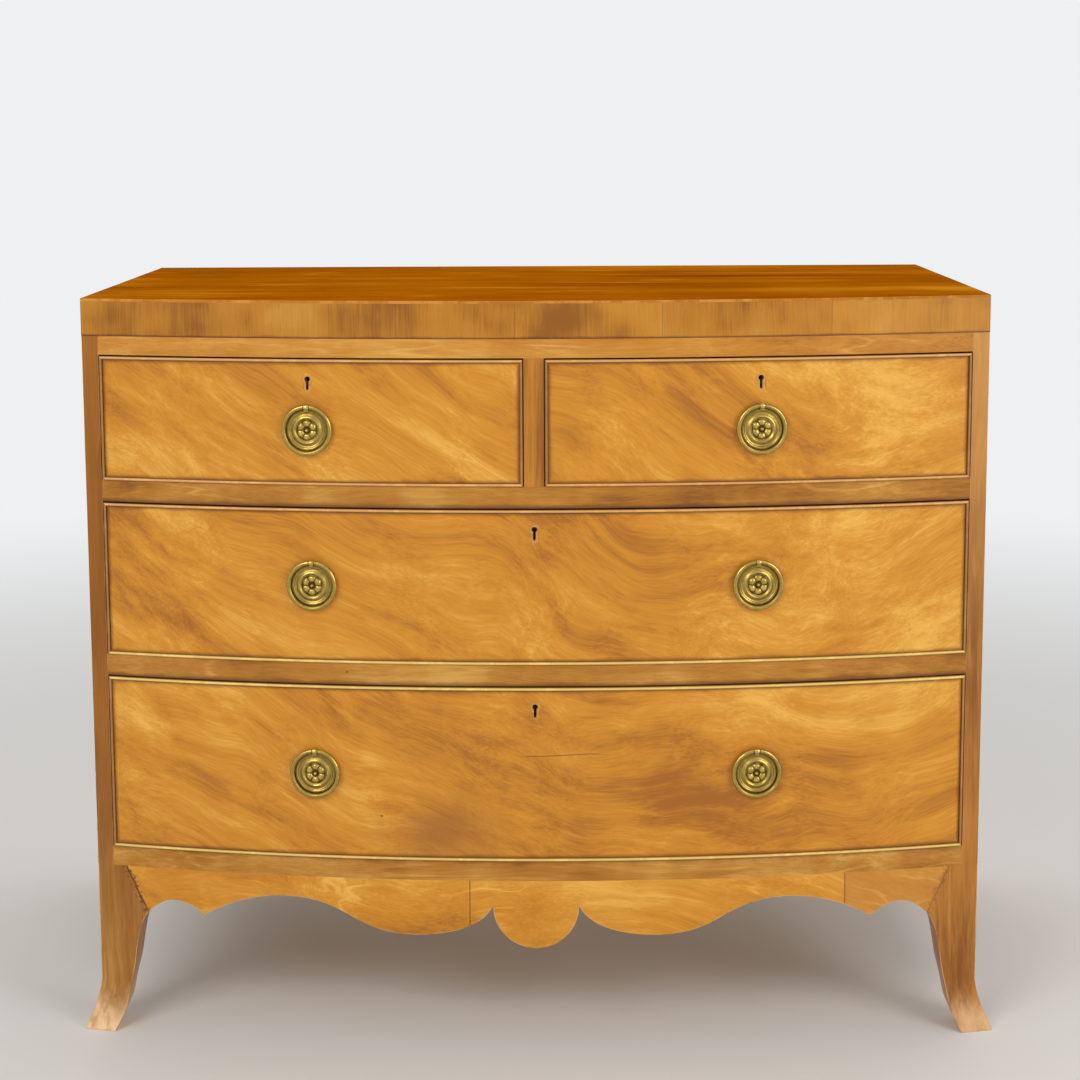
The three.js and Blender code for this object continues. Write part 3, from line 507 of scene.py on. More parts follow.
FRONT_TONES = ((168, 102, 28), (213, 142, 38), (242, 184, 80))
RAIL_TONES = ((132, 76, 14), (182, 120, 36), (216, 162, 76))
TOP_RAIL_TONES = ((150, 88, 16), (200, 132, 42), (228, 172, 80))
LEFT_TONES = ((114, 64, 14), (160, 102, 34), (200, 147, 74))
RIGHT_TONES = ((134, 78, 22), (184, 120, 44), (216, 160, 84))
TOP_TONES = ((128, 62, 1), (166, 91, 3), (202, 130, 26))
CROSS_TONES = ((140, 82, 14), (193, 128, 32), (210, 150, 56))
BEAD_TONES = ((74, 32, 8), (110, 54, 16), (150, 84, 30))
GOLD_BEAD_TONES = ((110, 62, 10), (150, 94, 22), (196, 142, 54))
LINING_TONES = ((150, 112, 62), (196, 160, 106), (222, 190, 140))
print("finishes ready")

# %% [markdown]
# ## Pieces that keep the shape of their solid
# Most solids are already the right shape, but their front is made of flat strips and
# their edges are dead sharp. A copy of the solid is joined up and sliced across the
# width, so that each cut can move out onto the true arc. A straight board has its flat
# faces made whole first, so that its edges can get a small bevel. On the bow each
# corner of a face gets the arc's own direction as its normal, so that no facet shows.

# %% Helpers for edges
SHARP = math.radians(32)
EDGE_WIDTH = 1 * MM
NEAR = 0.02 * MM


def soften(shape, edges, width, **more):
    """Bevels some edges, and hands back the new faces."""
    return bmesh.ops.bevel(shape, geom=edges, offset=width, offset_type="OFFSET", affect="EDGES",
                           segments=2, profile=0.5, material=-1, **more)["faces"]


def mark_wear_and_highlight(shape, faces, share=1):
    """Writes on faces how pale they are, from wear and a painted highlight, for the finish to read.
    """
    mark = shape.loops.layers.float["wear_and_highlight"]
    for face in faces:
        for loop in face.loops:
            loop[mark] = share


def edge_wear_and_highlight(shape, edges, width=EDGE_WIDTH):
    """Bevels some edges and marks their faces pale, as wear and a painted highlight."""
    if "wear_and_highlight" not in shape.loops.layers.float:
        shape.loops.layers.float.new("wear_and_highlight")
    mark_wear_and_highlight(shape, soften(shape, edges, width, clamp_overlap=True))
    return shape


def at_joint(edge):
    """An edge in the plane where a foot meets the side above it."""
    return all(abs(vert.co.z - FOOT_HEIGHT) < NEAR for vert in edge.verts)


def wear_and_highlight_sharp_edges(shape, rule=lambda edge: True):
    """Bevels the sharp outer edges that a rule lets through, and marks them pale, as wear and a
    painted highlight.
    """
    return edge_wear_and_highlight(shape, [edge for edge in shape.edges
                       if edge.is_manifold and edge.calc_face_angle_signed(0) > SHARP
                       and not at_joint(edge) and rule(edge)])


print("helpers for edges ready")

# %% Helpers for pieces
ORDER = (0.59, 0.31, 0.75)
BOW_FACE_BACK = -150 * MM
ON_BOW = 0.95


def bow_normals(data):
    """Gives the faces that follow the bow the arc's normals, and the rest their own."""
    data.update()
    normals = [Vector((0, 0, 1))] * len(data.loops)
    for face in data.polygons:
        for i in face.loop_indices:
            place = data.vertices[data.loops[i].vertex_index].co
            out = Vector((place.x, place.y - BOW_CENTRE, 0)).normalized()
            facing = face.normal.dot(out)
            on_bow = abs(facing) > ON_BOW and place.y < BOW_FACE_BACK
            normals[i] = out * math.copysign(1, facing) if on_bow else face.normal.copy()
    data.normals_split_custom_set(normals)


def rank(place):
    """A number for a place, which no other place is likely to share."""
    return sum(share * part for share, part in zip(ORDER, place))


def to_data(name, shape):
    """Mesh data in a fixed order of points, edges and faces, because extruding and
    spinning give them in an order that changes from run to run."""
    shape.verts.sort(key=lambda vert: rank(vert.co))
    shape.edges.sort(key=lambda edge: rank(edge.verts[0].co + edge.verts[1].co))
    shape.faces.sort(key=lambda face: rank(face.calc_center_median() + face.normal * MM))
    data = bpy.data.meshes.new(name)
    shape.to_mesh(data)
    shape.free()
    return data


def mesh_piece(name, shape, finishes, body, replaced, bowed=False):
    """Turns a bmesh into a piece that rides on a body in place of a solid."""
    data = to_data(name, shape)
    piece = put_in_scene(name, data)
    for finish in finishes:
        data.materials.append(finish)
    data.shade_smooth()
    if bowed:
        bow_normals(data)
    else:
        data.set_sharp_from_angle(angle=SHARP)
        even = piece.modifiers.new("even_shading", "WEIGHTED_NORMAL")
        even.keep_sharp = True
    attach(piece, body)
    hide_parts(replaced)
    print(name, len(data.polygons), "faces")


print("helpers for pieces ready")

# %% Helpers for copies of solids
FLAT = math.radians(0.4)
SLICE = 16 * MM
WELD = 0.01 * MM
BOW_SLACK = 0.26 * MM


def from_solid(node, whole=False):
    """A bmesh of a solid, with its loose triangles joined. Whole makes its flat faces
    one, for boards that are bevelled and not sliced."""
    shape = bmesh.new()
    shape.from_mesh(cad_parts[node].data)
    bmesh.ops.remove_doubles(shape, verts=shape.verts, dist=WELD)
    if whole:
        bmesh.ops.dissolve_limit(shape, angle_limit=FLAT, verts=shape.verts, edges=shape.edges,
                                 use_dissolve_boundaries=False)
    return shape


def cut(shape, place, direction, near, **more):
    bmesh.ops.bisect_plane(shape, geom=[*shape.verts, *shape.edges, *shape.faces], dist=near,
                           plane_co=place, plane_no=direction, **more)


def slices(shape):
    """Cuts a shape across its width, so that it can follow the bow."""
    low = min(vert.co.x for vert in shape.verts)
    high = max(vert.co.x for vert in shape.verts)
    count = max(1, round((high - low) / SLICE))
    for i in range(1, count):
        cut(shape, (low + (high - low) * i / count, 0, 0), (1, 0, 0), 0.001 * MM)
    return shape


def true_bow(node, *lines):
    """A sliced copy of a solid. Points that lie just inside the bow, or inside a line
    before or behind it, are moved onto it."""
    shape = slices(from_solid(node))
    for vert in shape.verts:
        out = math.hypot(vert.co.x, vert.co.y - BOW_CENTRE) - BOW_RADIUS
        for line in lines:
            if abs(out - line) < BOW_SLACK:
                vert.co.y = bow_y(vert.co.x, line)
    return shape


def paint(shape, rule):
    """Gives each face the finish whose number the rule returns for its middle."""
    for face in shape.faces:
        face.material_index = int(rule(face.calc_center_median(), face.normal))
    return shape


print("slices of", SLICE, "m")


# %% Helpers for new shapes
def mark_points(shape, label, rule):
    """Writes a value on each point by a rule of its place, for the finish to read."""
    layer = shape.verts.layers.float.new(label)
    for vert in shape.verts:
        vert[layer] = rule(vert.co)
    return shape


def outward(shape):
    """Turns all faces outward."""
    bmesh.ops.recalc_face_normals(shape, faces=shape.faces)
    return shape


def move(shape, step):
    bmesh.ops.translate(shape, vec=step, verts=shape.verts)
    return shape


def drawn_out(shape, step):
    """Extrudes a flat shape by a step."""
    grown = bmesh.ops.extrude_face_region(shape, geom=shape.faces[:])["geom"]
    verts = [item for item in grown if isinstance(item, bmesh.types.BMVert)]
    bmesh.ops.translate(shape, verts=verts, vec=step)
    return outward(shape)


def loop_of(shape, points):
    """A closed loop of edges through some points."""
    verts = [shape.verts.new(point) for point in points]
    return [shape.edges.new(pair) for pair in zip(verts, verts[1:] + verts[:1])]


def skin(sections):
    """Bridges a row of closed sections, and closes the ends."""
    shape = bmesh.new()
    loops = [loop_of(shape, points) for points in sections]
    for lower, upper in zip(loops, loops[1:]):
        bmesh.ops.bridge_loops(shape, edges=lower + upper)
    for end in (loops[0], loops[-1]):
        bmesh.ops.contextual_create(shape, geom=end)
    return outward(shape)


def add_shape(whole, part):
    """Adds one bmesh to another."""
    data = to_data("part", part)
    whole.from_mesh(data)
    bpy.data.meshes.remove(data)


print("helpers for shapes ready")

# %% [markdown]
# ## Boards of the carcase
# Only what shows is polished mahogany. The frieze is crossbanded, with its grain
# upright and in short lengths, and the rails are faced with long veneer. The two
# uprights differ in tone, the left darker than the right. Behind their faces the boards
# are plain, so each face of a board gets its finish by where it lies.

# %% Finishes of the carcase
RAIL_BACK = -174.5 * MM
FRIEZE_FOOT = 797 * MM
INNER_SIDE = OPENING_HALF + 0.5 * MM
ACROSS = Vector((2 * HALF_WIDTH, 0, 0))

low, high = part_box("top_frame")
frieze_box = (Vector((low.x, low.y, FRIEZE_FOOT)) - ACROSS,
              Vector((high.x, high.y, high.z + 20 * MM)) + ACROSS)
# The top's pale edges are wear and a painted highlight
edge_wear_and_highlight_look = dict(wear_and_highlight_tone=(226, 164, 84), wear_and_highlight_even=0.5)
top_finish = wood("polished_top", TOP_TONES, shift=(0.3, 0.1, 0), figure=0.55, blotch=0.25,
                  gloss=0.1, coat=0, specular=0, edge_wear_and_highlight=0.9, **edge_wear_and_highlight_look)
top_edge_finish = wood("top_edge", LEFT_TONES, ALONG_Y, (0.5, 0.2, 0.3), blotch=0.4, **edge_wear_and_highlight_look)
# The frieze's foot gets a dark line of dirt and painted shade along its joint
cross_finish = wood("crossbanded_frieze", CROSS_TONES, ALONG_Z, (0.2, 0, 0.4), figure=0.2,
                    blotch=1.5, streak=0.05, lengths=0.16, knots=0.5, panel=frieze_box,
                    dirt_and_shade_width=3 * MM, dirt_and_shade_strength=0.8)
top_rail_finish = wood("top_rail_veneer", TOP_RAIL_TONES, shift=(0, 0.2, 0.3), sway=0.04,
                       blotch=0.6, knots=0.5)
divider_finish = wood("divider_mahogany", TOP_RAIL_TONES, ALONG_Z, (0.6, 0.1, 0.5), blotch=0.4)
upright_look = dict(turn=ALONG_Z, shift=(0.4, 0.1, 0.2), figure=0.6, blotch=0.35)
left_finish = wood("left_upright_mahogany", LEFT_TONES, **upright_look,
                   rise=(0.2, 0.5, (174, 104, 14), 0.45))
right_finish = wood("right_upright_mahogany", RIGHT_TONES, **upright_look,
                    rise=(0.35, 0.75, (216, 158, 84), 0.5))
lining_look = dict(sway=0.02, figure=0.4, blotch=0.2, gloss=0.3, coat=0, edge_wear_and_highlight=0)
lining_finish = wood("drawer_lining", LINING_TONES, ALONG_Y, **lining_look)
upright_lining = wood("upright_lining", LINING_TONES, shift=(0.2, 0.5, 0.1), **lining_look)
back_finish = wood("back_boards", LINING_TONES, shift=(0.1, 0.3, 0.6), figure=0.7, gloss=0.35,
                   coat=0, edge_wear_and_highlight=0)


def rail_finish(node):
    """A rail's veneer, with a ragged dark line along a drawer's bead, which is dirt and the
    bead's painted shadow. The bottom rail has a drawer above it only, and a broader line."""
    low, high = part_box(node)
    dirt_and_shade_width = 6 * MM
    if node == "shelf_bottom":
        low, dirt_and_shade_width = low - Vector((0, 0, 50 * MM)), 12 * MM
    return wood(f"{node}_veneer", RAIL_TONES, shift=(0, 0.2, low.z), sway=0.05, blotch=1,
                knots=0.8, panel=(low - ACROSS, high + ACROSS), dirt_and_shade_width=dirt_and_shade_width, dirt_and_shade_strength=0.7)


print("finishes of the carcase ready")

# %% Top board and frieze
LIP_FOOT = 835 * MM
LIP_WEAR_AND_HIGHLIGHT = 0.8
TOP_OVERHANG = 0.8 * MM
TOP_NOSE = 1.2 * MM
TOP_RAIL_BACK = -7 * MM

top = true_bow("top_board", TOP_OVERHANG, TOP_NOSE)
surface = max(vert.co.z for vert in top.verts)
# The rim's edges and the lip's front are marked pale: wear and a painted highlight
wear_and_highlight_sharp_edges(top, lambda edge: all(vert.co.z > surface - NEAR for vert in edge.verts))
mark_wear_and_highlight(top, [face for face in top.faces
                  if face.normal.y < -0.5 and face.calc_center_median().z > LIP_FOOT], LIP_WEAR_AND_HIGHLIGHT)
paint(top, lambda middle, normal: abs(normal.x) > 0.5 or normal.y > 0.5)
mesh_piece("top_board_finished", top, [top_finish, top_edge_finish], "carcase",
           "top_board", bowed=True)

frieze = paint(true_bow("top_frame", TOP_OVERHANG, 0, TOP_RAIL_BACK), lambda middle, normal:
               2 if middle.y > RAIL_BACK - NEAR and abs(middle.x) < INNER_SIDE
               else middle.z <= FRIEZE_FOOT - NEAR)
mesh_piece("top_frame_finished", frieze, [cross_finish, top_rail_finish, lining_finish],
           "carcase", "top_frame", bowed=True)

# %% Rails and divider
for node in ("shelf_upper", "shelf_lower", "shelf_bottom", "divider"):
    shape = paint(true_bow(node, 0), lambda middle, normal: middle.y >= RAIL_BACK - NEAR)
    face = divider_finish if node == "divider" else rail_finish(node)
    mesh_piece(f"{node}_finished", shape, [face, lining_finish], "carcase",
               node, bowed=True)

# %% Sides
for node, face in (("side_left", left_finish), ("side_right", right_finish)):
    # Sharp edges are bevelled and marked pale: wear and a painted highlight
    shape = paint(wear_and_highlight_sharp_edges(from_solid(node, whole=True)), lambda middle, normal:
                  abs(middle.x) < INNER_SIDE and middle.z > FOOT_HEIGHT and middle.y > RAIL_BACK)
    mesh_piece(f"{node}_finished", shape, [face, lining_finish], "carcase", node)

# %% [markdown]
# ## Drawer fronts
# Each front is one sheet of figured veneer on a bowed board. The solids already have
# the keyhole, the sockets of the dovetails and the hollow for the lock, so the fronts
# are copies too. On the long drawers the figure falls steeply at the left and levels
# out to the right. Each front has its own start on the sheet and its own border.

# %% Marks on the bottom drawer
STAIN_MIDDLE = (-100 * MM, 248 * MM)
STAIN_SPREAD = (12, 0, 20)
STAIN_TONE = (150, 92, 44)
CRACK_MIDDLE = (30 * MM, 333 * MM)
CRACK_FULL, CRACK_END = 30 * MM, 55 * MM


def bottom_marks(place):
    """A brown stain low on the front, left of the middle, and a hairline crack above."""
    shift = (-STAIN_SPREAD[0] * STAIN_MIDDLE[0], 0, -STAIN_SPREAD[2] * STAIN_MIDDLE[1])
    spread = length_of(stretch(place, STAIN_SPREAD, shift=shift))
    stain = ramp(spread + noise(place, 24, 3), 1.7, 0.6, 0, 0.62)
    split = parts(place)
    above = split["Z"] - CRACK_MIDDLE[1] - noise(place, 14) * (6 * MM)
    line = ramp(abs(above), 0.9 * MM, 0.2 * MM, 0, 0.6)
    along = abs(split["X"] - CRACK_MIDDLE[0])
    return stain, line * ramp(along, CRACK_END, CRACK_FULL), STAIN_TONE


print("crack in the middle of", CRACK_MIDDLE)

# %% Drawer fronts
BEAD_WIDTH = 3.2 * MM
# Lines behind the bow where a front's solid has its rebate, sockets and back
FRONT_LINES = (0, -9 * MM, -18 * MM, -22 * MM)
# name, slope of the figure at the middle, how it fans, place on the sheet, sway, blotch
front_rows = [
    ("drawer_top_left", -0.50, 0.1, (0.10, 0.0, 0.30), 0.22, 0.35),
    ("drawer_top_right", -0.55, 1.0, (1.30, 0.2, 0.90), 0.24, 0.35),
    ("drawer_middle", -0.24, 0.78, (2.40, 0.4, 1.70), 0.26, 0.35),
    ("drawer_bottom", -0.24, 0.78, (3.70, 0.6, 2.60), 0.24, 0.6),
]
inset = Vector((BEAD_WIDTH, 0, BEAD_WIDTH))
for drawer, *fall, start, sway, blotch in front_rows:
    low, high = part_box(f"{drawer}_front")
    # Each front's border gets dirt and painted shade, in the groove beside its proud bead
    finish = wood(f"figured_{drawer}", FRONT_TONES, shift=start, sway=sway, figure=0.62,
                  blotch=blotch, streak=0.07, fall=fall, panel=(low + inset, high - inset),
                  dirt_and_shade_width=5 * MM, dirt_and_shade_strength=0.6, edge_wear_and_highlight=0, knots=0.8,
                  patch=bottom_marks if drawer == "drawer_bottom" else None)
    mesh_piece(f"{drawer}_front_finished", true_bow(f"{drawer}_front", *FRONT_LINES), [finish],
               drawer, f"{drawer}_front", bowed=True)

# %% [markdown]
# ## Cock beads
# A cock bead is a thin strip with a rounded nose, let into a rebate round the drawer
# front, where it stands a little proud. Its section is carried along a straight line,
# cut to a mitre at each end, and only then bent to the bow.

# %% Cock beads
BEAD_SUNK = 8.85 * MM
BEAD_PROUD = 3 * MM
NOSE_STEPS = 10
CROWN_FROM = 1.3 * MM
GOLD_BELOW = 450 * MM
# Upright strips get less of the pale crown, as their crowns face sideways, away from the light
# above: a painted highlight
UPRIGHT_CROWN = 0.4


def bead_strip(length, steps, crown_share):
    """One strip in the plane of the front, from 0 to length along X, before bending.
    The share says how pale its crown is, which is wear and a painted highlight."""
    half = BEAD_WIDTH / 2
    nose = [math.pi * i / NOSE_STEPS for i in range(NOSE_STEPS + 1)]
    section = [(BEAD_SUNK, 0), *((half - BEAD_PROUD - half * math.sin(angle),
                                    half - half * math.cos(angle)) for angle in nose),
               (BEAD_SUNK, BEAD_WIDTH)]
    strip = skin([[(length * i / steps, *point) for point in section] for i in range(steps + 1)])
    return mark_points(strip, "wear_and_highlight", lambda place: crown_share * max(0, min(
        1, (-place.y - CROWN_FROM) / (BEAD_PROUD - CROWN_FROM))))


def mitred_strip(length, place, steps, crown_share):
    """A strip with a mitre at each end, in its place."""
    strip = bead_strip(length, steps, crown_share)
    for x, side in ((0, -1), (length, 1)):
        cut(strip, (x, 0, 0), (side, 0, 1), 0.0001 * MM, clear_outer=True)
        bmesh.ops.contextual_create(strip, geom=[edge for edge in strip.edges if edge.is_boundary])
    bmesh.ops.transform(strip, matrix=place, verts=strip.verts)
    return outward(strip)


def bend(shape):
    """Bends a shape made against a flat front to the bow."""
    for vert in shape.verts:
        vert.co.y += bow_y(vert.co.x)
    return shape


bead_look = dict(shift=(0.5, 0.3, 0.1), sway=0.02, figure=0.4, edge_wear_and_highlight=1, wear_and_highlight_even=0.8, gloss=-0.02,
                 coat=0.05)
# The crown's pale tone is wear and a painted highlight; the low beads are golder, with a brighter
# painted highlight
bead_finish = wood("cock_bead", BEAD_TONES, wear_and_highlight_tone=(246, 186, 112), **bead_look)
gold_finish = wood("golden_cock_bead", GOLD_BEAD_TONES, wear_and_highlight_tone=(255, 222, 128), **bead_look)
for drawer, *_ in front_rows:
    low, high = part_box(f"{drawer}_cock_bead")
    width, height = high.x - low.x, high.z - low.z
    corners = [(low.x, low.z, 0, width), (high.x, low.z, -90, height),
               (high.x, high.z, 180, width), (low.x, high.z, 90, height)]
    bead = bmesh.new()
    for x, z, turn, length in corners:
        place = Matrix.Translation((x, 0, z)) @ Matrix.Rotation(math.radians(turn), 4, "Y")
        level = turn in (0, 180)
        add_shape(bead, mitred_strip(length, place, round(length / SLICE) if level else 1,
                                     1 if level else UPRIGHT_CROWN))
    paint(bend(bead), lambda middle, normal: middle.z < GOLD_BELOW
          and low.x + BEAD_WIDTH <= middle.x <= high.x - BEAD_WIDTH)
    mesh_piece(f"{drawer}_bead_strips", bead, [bead_finish, gold_finish], drawer,
               f"{drawer}_cock_bead")

# %% [markdown]
# ## Apron
# The lower edge of the apron has a round lobe in the middle, and then a belly, an arch,
# a point and a small arch towards each foot. Its points come from Bezier curves. The
# flat shape is filled, thickened, bevelled, sliced and bent.

# %% Apron
FOOT_WIDTH = 62 * MM
FOOT_REACH = HALF_WIDTH - FOOT_WIDTH
LOBE_RADIUS = 48 * MM
LOBE_RISE = 30 * MM
LOBE_STEPS = 20
CURVE_STEPS = 16
APRON_THICKNESS = 20 * MM
APRON_EDGE = 1.1 * MM
# Each curve: how far out and how far down its handles and its end are, in millimetres
edge_curves = [
    ((59.0, 52.0), (92.0, 64.0), (136.0, 64.0)),
    ((208.5, 64.0), (208.5, 24.0), (281.0, 24.0)),
    ((312.7, 24.0), (344.3, 33.3), (376.0, 52.0)),
    ((387.3, 42.0), (398.7, 37.0), (410.0, 37.0)),
    ((419.3, 37.0), (428.7, 41.3), (438.0, 50.0)),
]


def half_edge():
    """Points of the lower edge from the bottom of the lobe to the foot."""
    points = []
    for i in range(LOBE_STEPS + 1):
        angle = math.pi / 2 * i / LOBE_STEPS
        points.append(Vector((LOBE_RADIUS * math.sin(angle), 0,
                              FOOT_HEIGHT - LOBE_RISE - LOBE_RADIUS * math.cos(angle))))
    for curve in edge_curves:
        knots = [Vector((out * MM, 0, FOOT_HEIGHT - down * MM)) for out, down in curve]
        points += interpolate_bezier(points[-1], *knots, CURVE_STEPS)[1:]
    return points


right_half = half_edge()
left_half = [Vector((-point.x, 0, point.z)) for point in reversed(right_half[1:])]
corners = [(FOOT_REACH, 0, FOOT_HEIGHT), (-FOOT_REACH, 0, FOOT_HEIGHT)]
apron = bmesh.new()
apron.faces.new([apron.verts.new(point) for point in left_half + right_half + corners])
drawn_out(apron, (0, APRON_THICKNESS, 0))
# The lower edge is bevelled and marked pale: wear and a painted highlight
edge_wear_and_highlight(apron, [edge for edge in apron.edges
            if all(abs(vert.co.y) < NEAR and vert.co.z < FOOT_HEIGHT - NEAR
                   for vert in edge.verts)], APRON_EDGE)
bend(slices(apron))

# %% [markdown]
# ## Finish of the apron
# The apron is faced with three lengths of veneer, and the one at the right end is
# browner. The seams and the browner end are laid on by their place across the chest.

# %% Finish of the apron
APRON_SEAMS = (-73.6 * MM, 346 * MM)
APRON_FALL = (-0.15, 0.2)
BROWNER_TONE = (184, 122, 58)
apron_look = dict(shift=(4.6, 0.3, 0.4), sway=0.2, figure=0.5, blotch=0.45, streak=0.2)


def browner_end(place):
    """A mask for the right end of the veneer, past the last seam."""
    start = APRON_SEAMS[1]
    return ramp(parts(place)["X"], start, start + 0.5 * MM, 0, 0.45)


apron_finish = wood("veneered_apron", FRONT_TONES, edge_wear_and_highlight=1, knots=0.6, seams=APRON_SEAMS,
                    fall=APRON_FALL, patch=lambda place: (browner_end(place), 0, BROWNER_TONE),
                    **apron_look)
mesh_piece("apron_board", apron, [apron_finish], "carcase", "apron")

# %% [markdown]
# ## Front feet
# A splayed foot is sawn from the solid. Its inner edge draws in as it comes down, and
# the toe flares to the side and forwards. It is skinned over a stack of sections: each
# is a loop of edges, and neighbouring loops are bridged, which keeps the long arrises
# running from top to toe.

# %% Sections of a foot
BRACKET_HEIGHT = 142 * MM
TOE_FLARE = 18 * MM
FLARE_HEIGHT = 56 * MM
FLARE_POWER = 1.5
FOOT_STEPS = 34
# Up the foot: share of the bracket's height, and share of the foot's width
inner_shares = [
    (0.0, 0.29), (0.17, 0.48), (0.35, 0.565), (0.5, 0.645), (0.66, 0.7), (0.81, 0.765),
    (0.93, 0.87), (1.0, 1.0),
]


def through(points, share):
    """A smooth curve through points, read at a share of its length."""
    last = len(points) - 1
    i = min(int(share * last), last - 1)
    t = share * last - i
    p0, p1, p2, p3 = (Vector(points[min(max(j, 0), last)]) for j in range(i - 1, i + 3))
    v0, v1 = (p2 - p0) / 2, (p3 - p1) / 2
    return ((2 * (p1 - p2) + v0 + v1) * t ** 3 + (3 * (p2 - p1) - 2 * v0 - v1) * t ** 2
            + v0 * t + p1)


def foot_levels():
    """Heights up the foot, with the inner edge and the flare at each."""
    levels = []
    for i in range(FOOT_STEPS + 1):
        height, width = through(inner_shares, i / FOOT_STEPS)
        z = height * BRACKET_HEIGHT
        flare = TOE_FLARE * max(0, 1 - z / FLARE_HEIGHT) ** FLARE_POWER
        levels.append((z, width * FOOT_WIDTH, flare))
    return [*levels, (FOOT_HEIGHT, FOOT_WIDTH, 0)]


print("levels of a foot:", len(foot_levels()))

# %% [markdown]
# ## The joint between a foot and the apron
# The veneer of the apron runs on over the inner part of each foot, to a slanted joint
# that has gone dark and chipped. The joint crosses the face of one piece, so it belongs
# to the finish: on one side is the foot's upright grain, on the other the apron's.

# %% Slanted joint
JOINT_TOP, JOINT_FOOT = 466 * MM, 443 * MM
LEAN = (JOINT_TOP - JOINT_FOOT) / (FOOT_HEIGHT - BRACKET_HEIGHT)
JOINT_WANDER = 4 * MM
CHIP_REACH = 8 * MM


def slanted_joint(place, darkness):
    """Where a place is past the joint, how dark the joint is there, and the apron's veneer."""
    split = parts(place)
    joint = (split["Z"] - BRACKET_HEIGHT) * LEAN + JOINT_FOOT
    joint = joint + (noise(place, 55, 3) - 0.5) * JOINT_WANDER
    past = joint - abs(split["X"])
    front = ramp(split["Y"], FRONT_CORNER - 3 * MM, FRONT_CORNER + 2 * MM, 1, 0)
    line = ramp(abs(past), 0.4 * MM, 1.8 * MM, darkness, 0)
    chips = (ramp(noise(place, 240), 0.53, 0.6)
             * ramp(abs(past), 1 * MM, CHIP_REACH, darkness, 0))
    veneer = figured(fallen(place, *APRON_FALL), FRONT_TONES, ALONG_X, **apron_look)["Color"]
    return (ramp(past, -0.4 * MM, 0.4 * MM) * front, line.math("MAXIMUM", chips) * front,
            blend(browner_end(place), veneer, BROWNER_TONE))


print("joint leans", round(LEAN, 2))

# %% Front feet
FRONT_POINTS = 8
TOE_WEAR = 46 * MM
# side, node, tones, how dark the joint is and how worn the toe is
foot_rows = [
    (-1, "foot_front_left", LEFT_TONES, 0.8, 1),
    (1, "foot_front_right", RIGHT_TONES, 0.35, 0.4),
]


def foot_section(side, z, inner, flare):
    """A section of a foot: its back, and a bowed front from the outside in."""
    outer_x, inner_x = HALF_WIDTH + flare, HALF_WIDTH - inner
    back_y = FRONT_CORNER + inner
    xs = [outer_x + (inner_x - outer_x) * i / FRONT_POINTS for i in range(FRONT_POINTS + 1)]
    section = [(outer_x, back_y), *((x, bow_y(x, flare)) for x in xs), (inner_x, back_y)]
    return [(side * x, y, z) for x, y in section]


def below_apron(edge):
    """An edge that isn't glued against the end of the apron."""
    return not all(abs(abs(vert.co.x) - FOOT_REACH) < NEAR for vert in edge.verts)


for side, name, tones, darkness, toe_wear in foot_rows:
    finish = wood(f"{name}_mahogany", tones, **upright_look, pale_below=(TOE_WEAR, toe_wear),
                  patch=lambda place: slanted_joint(place, darkness))
    # Sharp edges are bevelled and marked pale: wear and a painted highlight
    foot = wear_and_highlight_sharp_edges(skin([foot_section(side, *level) for level in foot_levels()]), below_apron)
    mesh_piece(f"{name}_shaped", foot, [finish], "carcase", name)

# %% [markdown]
# ## Brass
# Old brass is bright where it is handled and nearly black in its hollows. The pieces
# carry an attribute named relief, from 0 in a hollow to 1 on a crest, and the finish
# mixes its tones by it.

# %% Brass finish
def old_brass(name, dark, gold, crest):
    """Brass with tarnish in its hollows, by its relief and a little noise."""
    made, shader, place = blank_finish(name)
    spots = noise(place, 160, 5, 0.65)
    relief = wire(place.tree, "Attribute", attribute_name="relief")["Fac"]
    height = relief + (spots - 0.5) * 0.9
    colour = blend(ramp(height, 0.05, 0.62), dark, gold)
    pits = wire(place.tree, "Bump", {"Height": spots, "Strength": 0.2, "Distance": 0.3 * MM})
    fill(shader, {"Base Color": blend(ramp(height, 0.75, 1.2), colour, crest), "Metallic": 0.9,
                  "Roughness": ramp(height, 0.2, 1, 0.48, 0.22), "Normal": pits["Normal"]})
    return made


brass = old_brass("old_brass", (78, 56, 14), (170, 143, 70), (224, 197, 120))
thread_brass = old_brass("thread_brass", (120, 72, 30), (216, 160, 86), (236, 198, 130))
print("brass finishes ready")

# %% [markdown]
# ## Ring pulls
# The backplate is stamped like a coin: a boss in a ring of six petals, then round
# mouldings out to the rim. It is spun from its profile, and then the metal between the
# petals is lowered. A barrel on a short neck holds the ring, and a post and a square
# nut hold the plate to the drawer front.

# %% The plate
PLATE_GAP = 0.15 * MM
SPIN_STEPS = 96
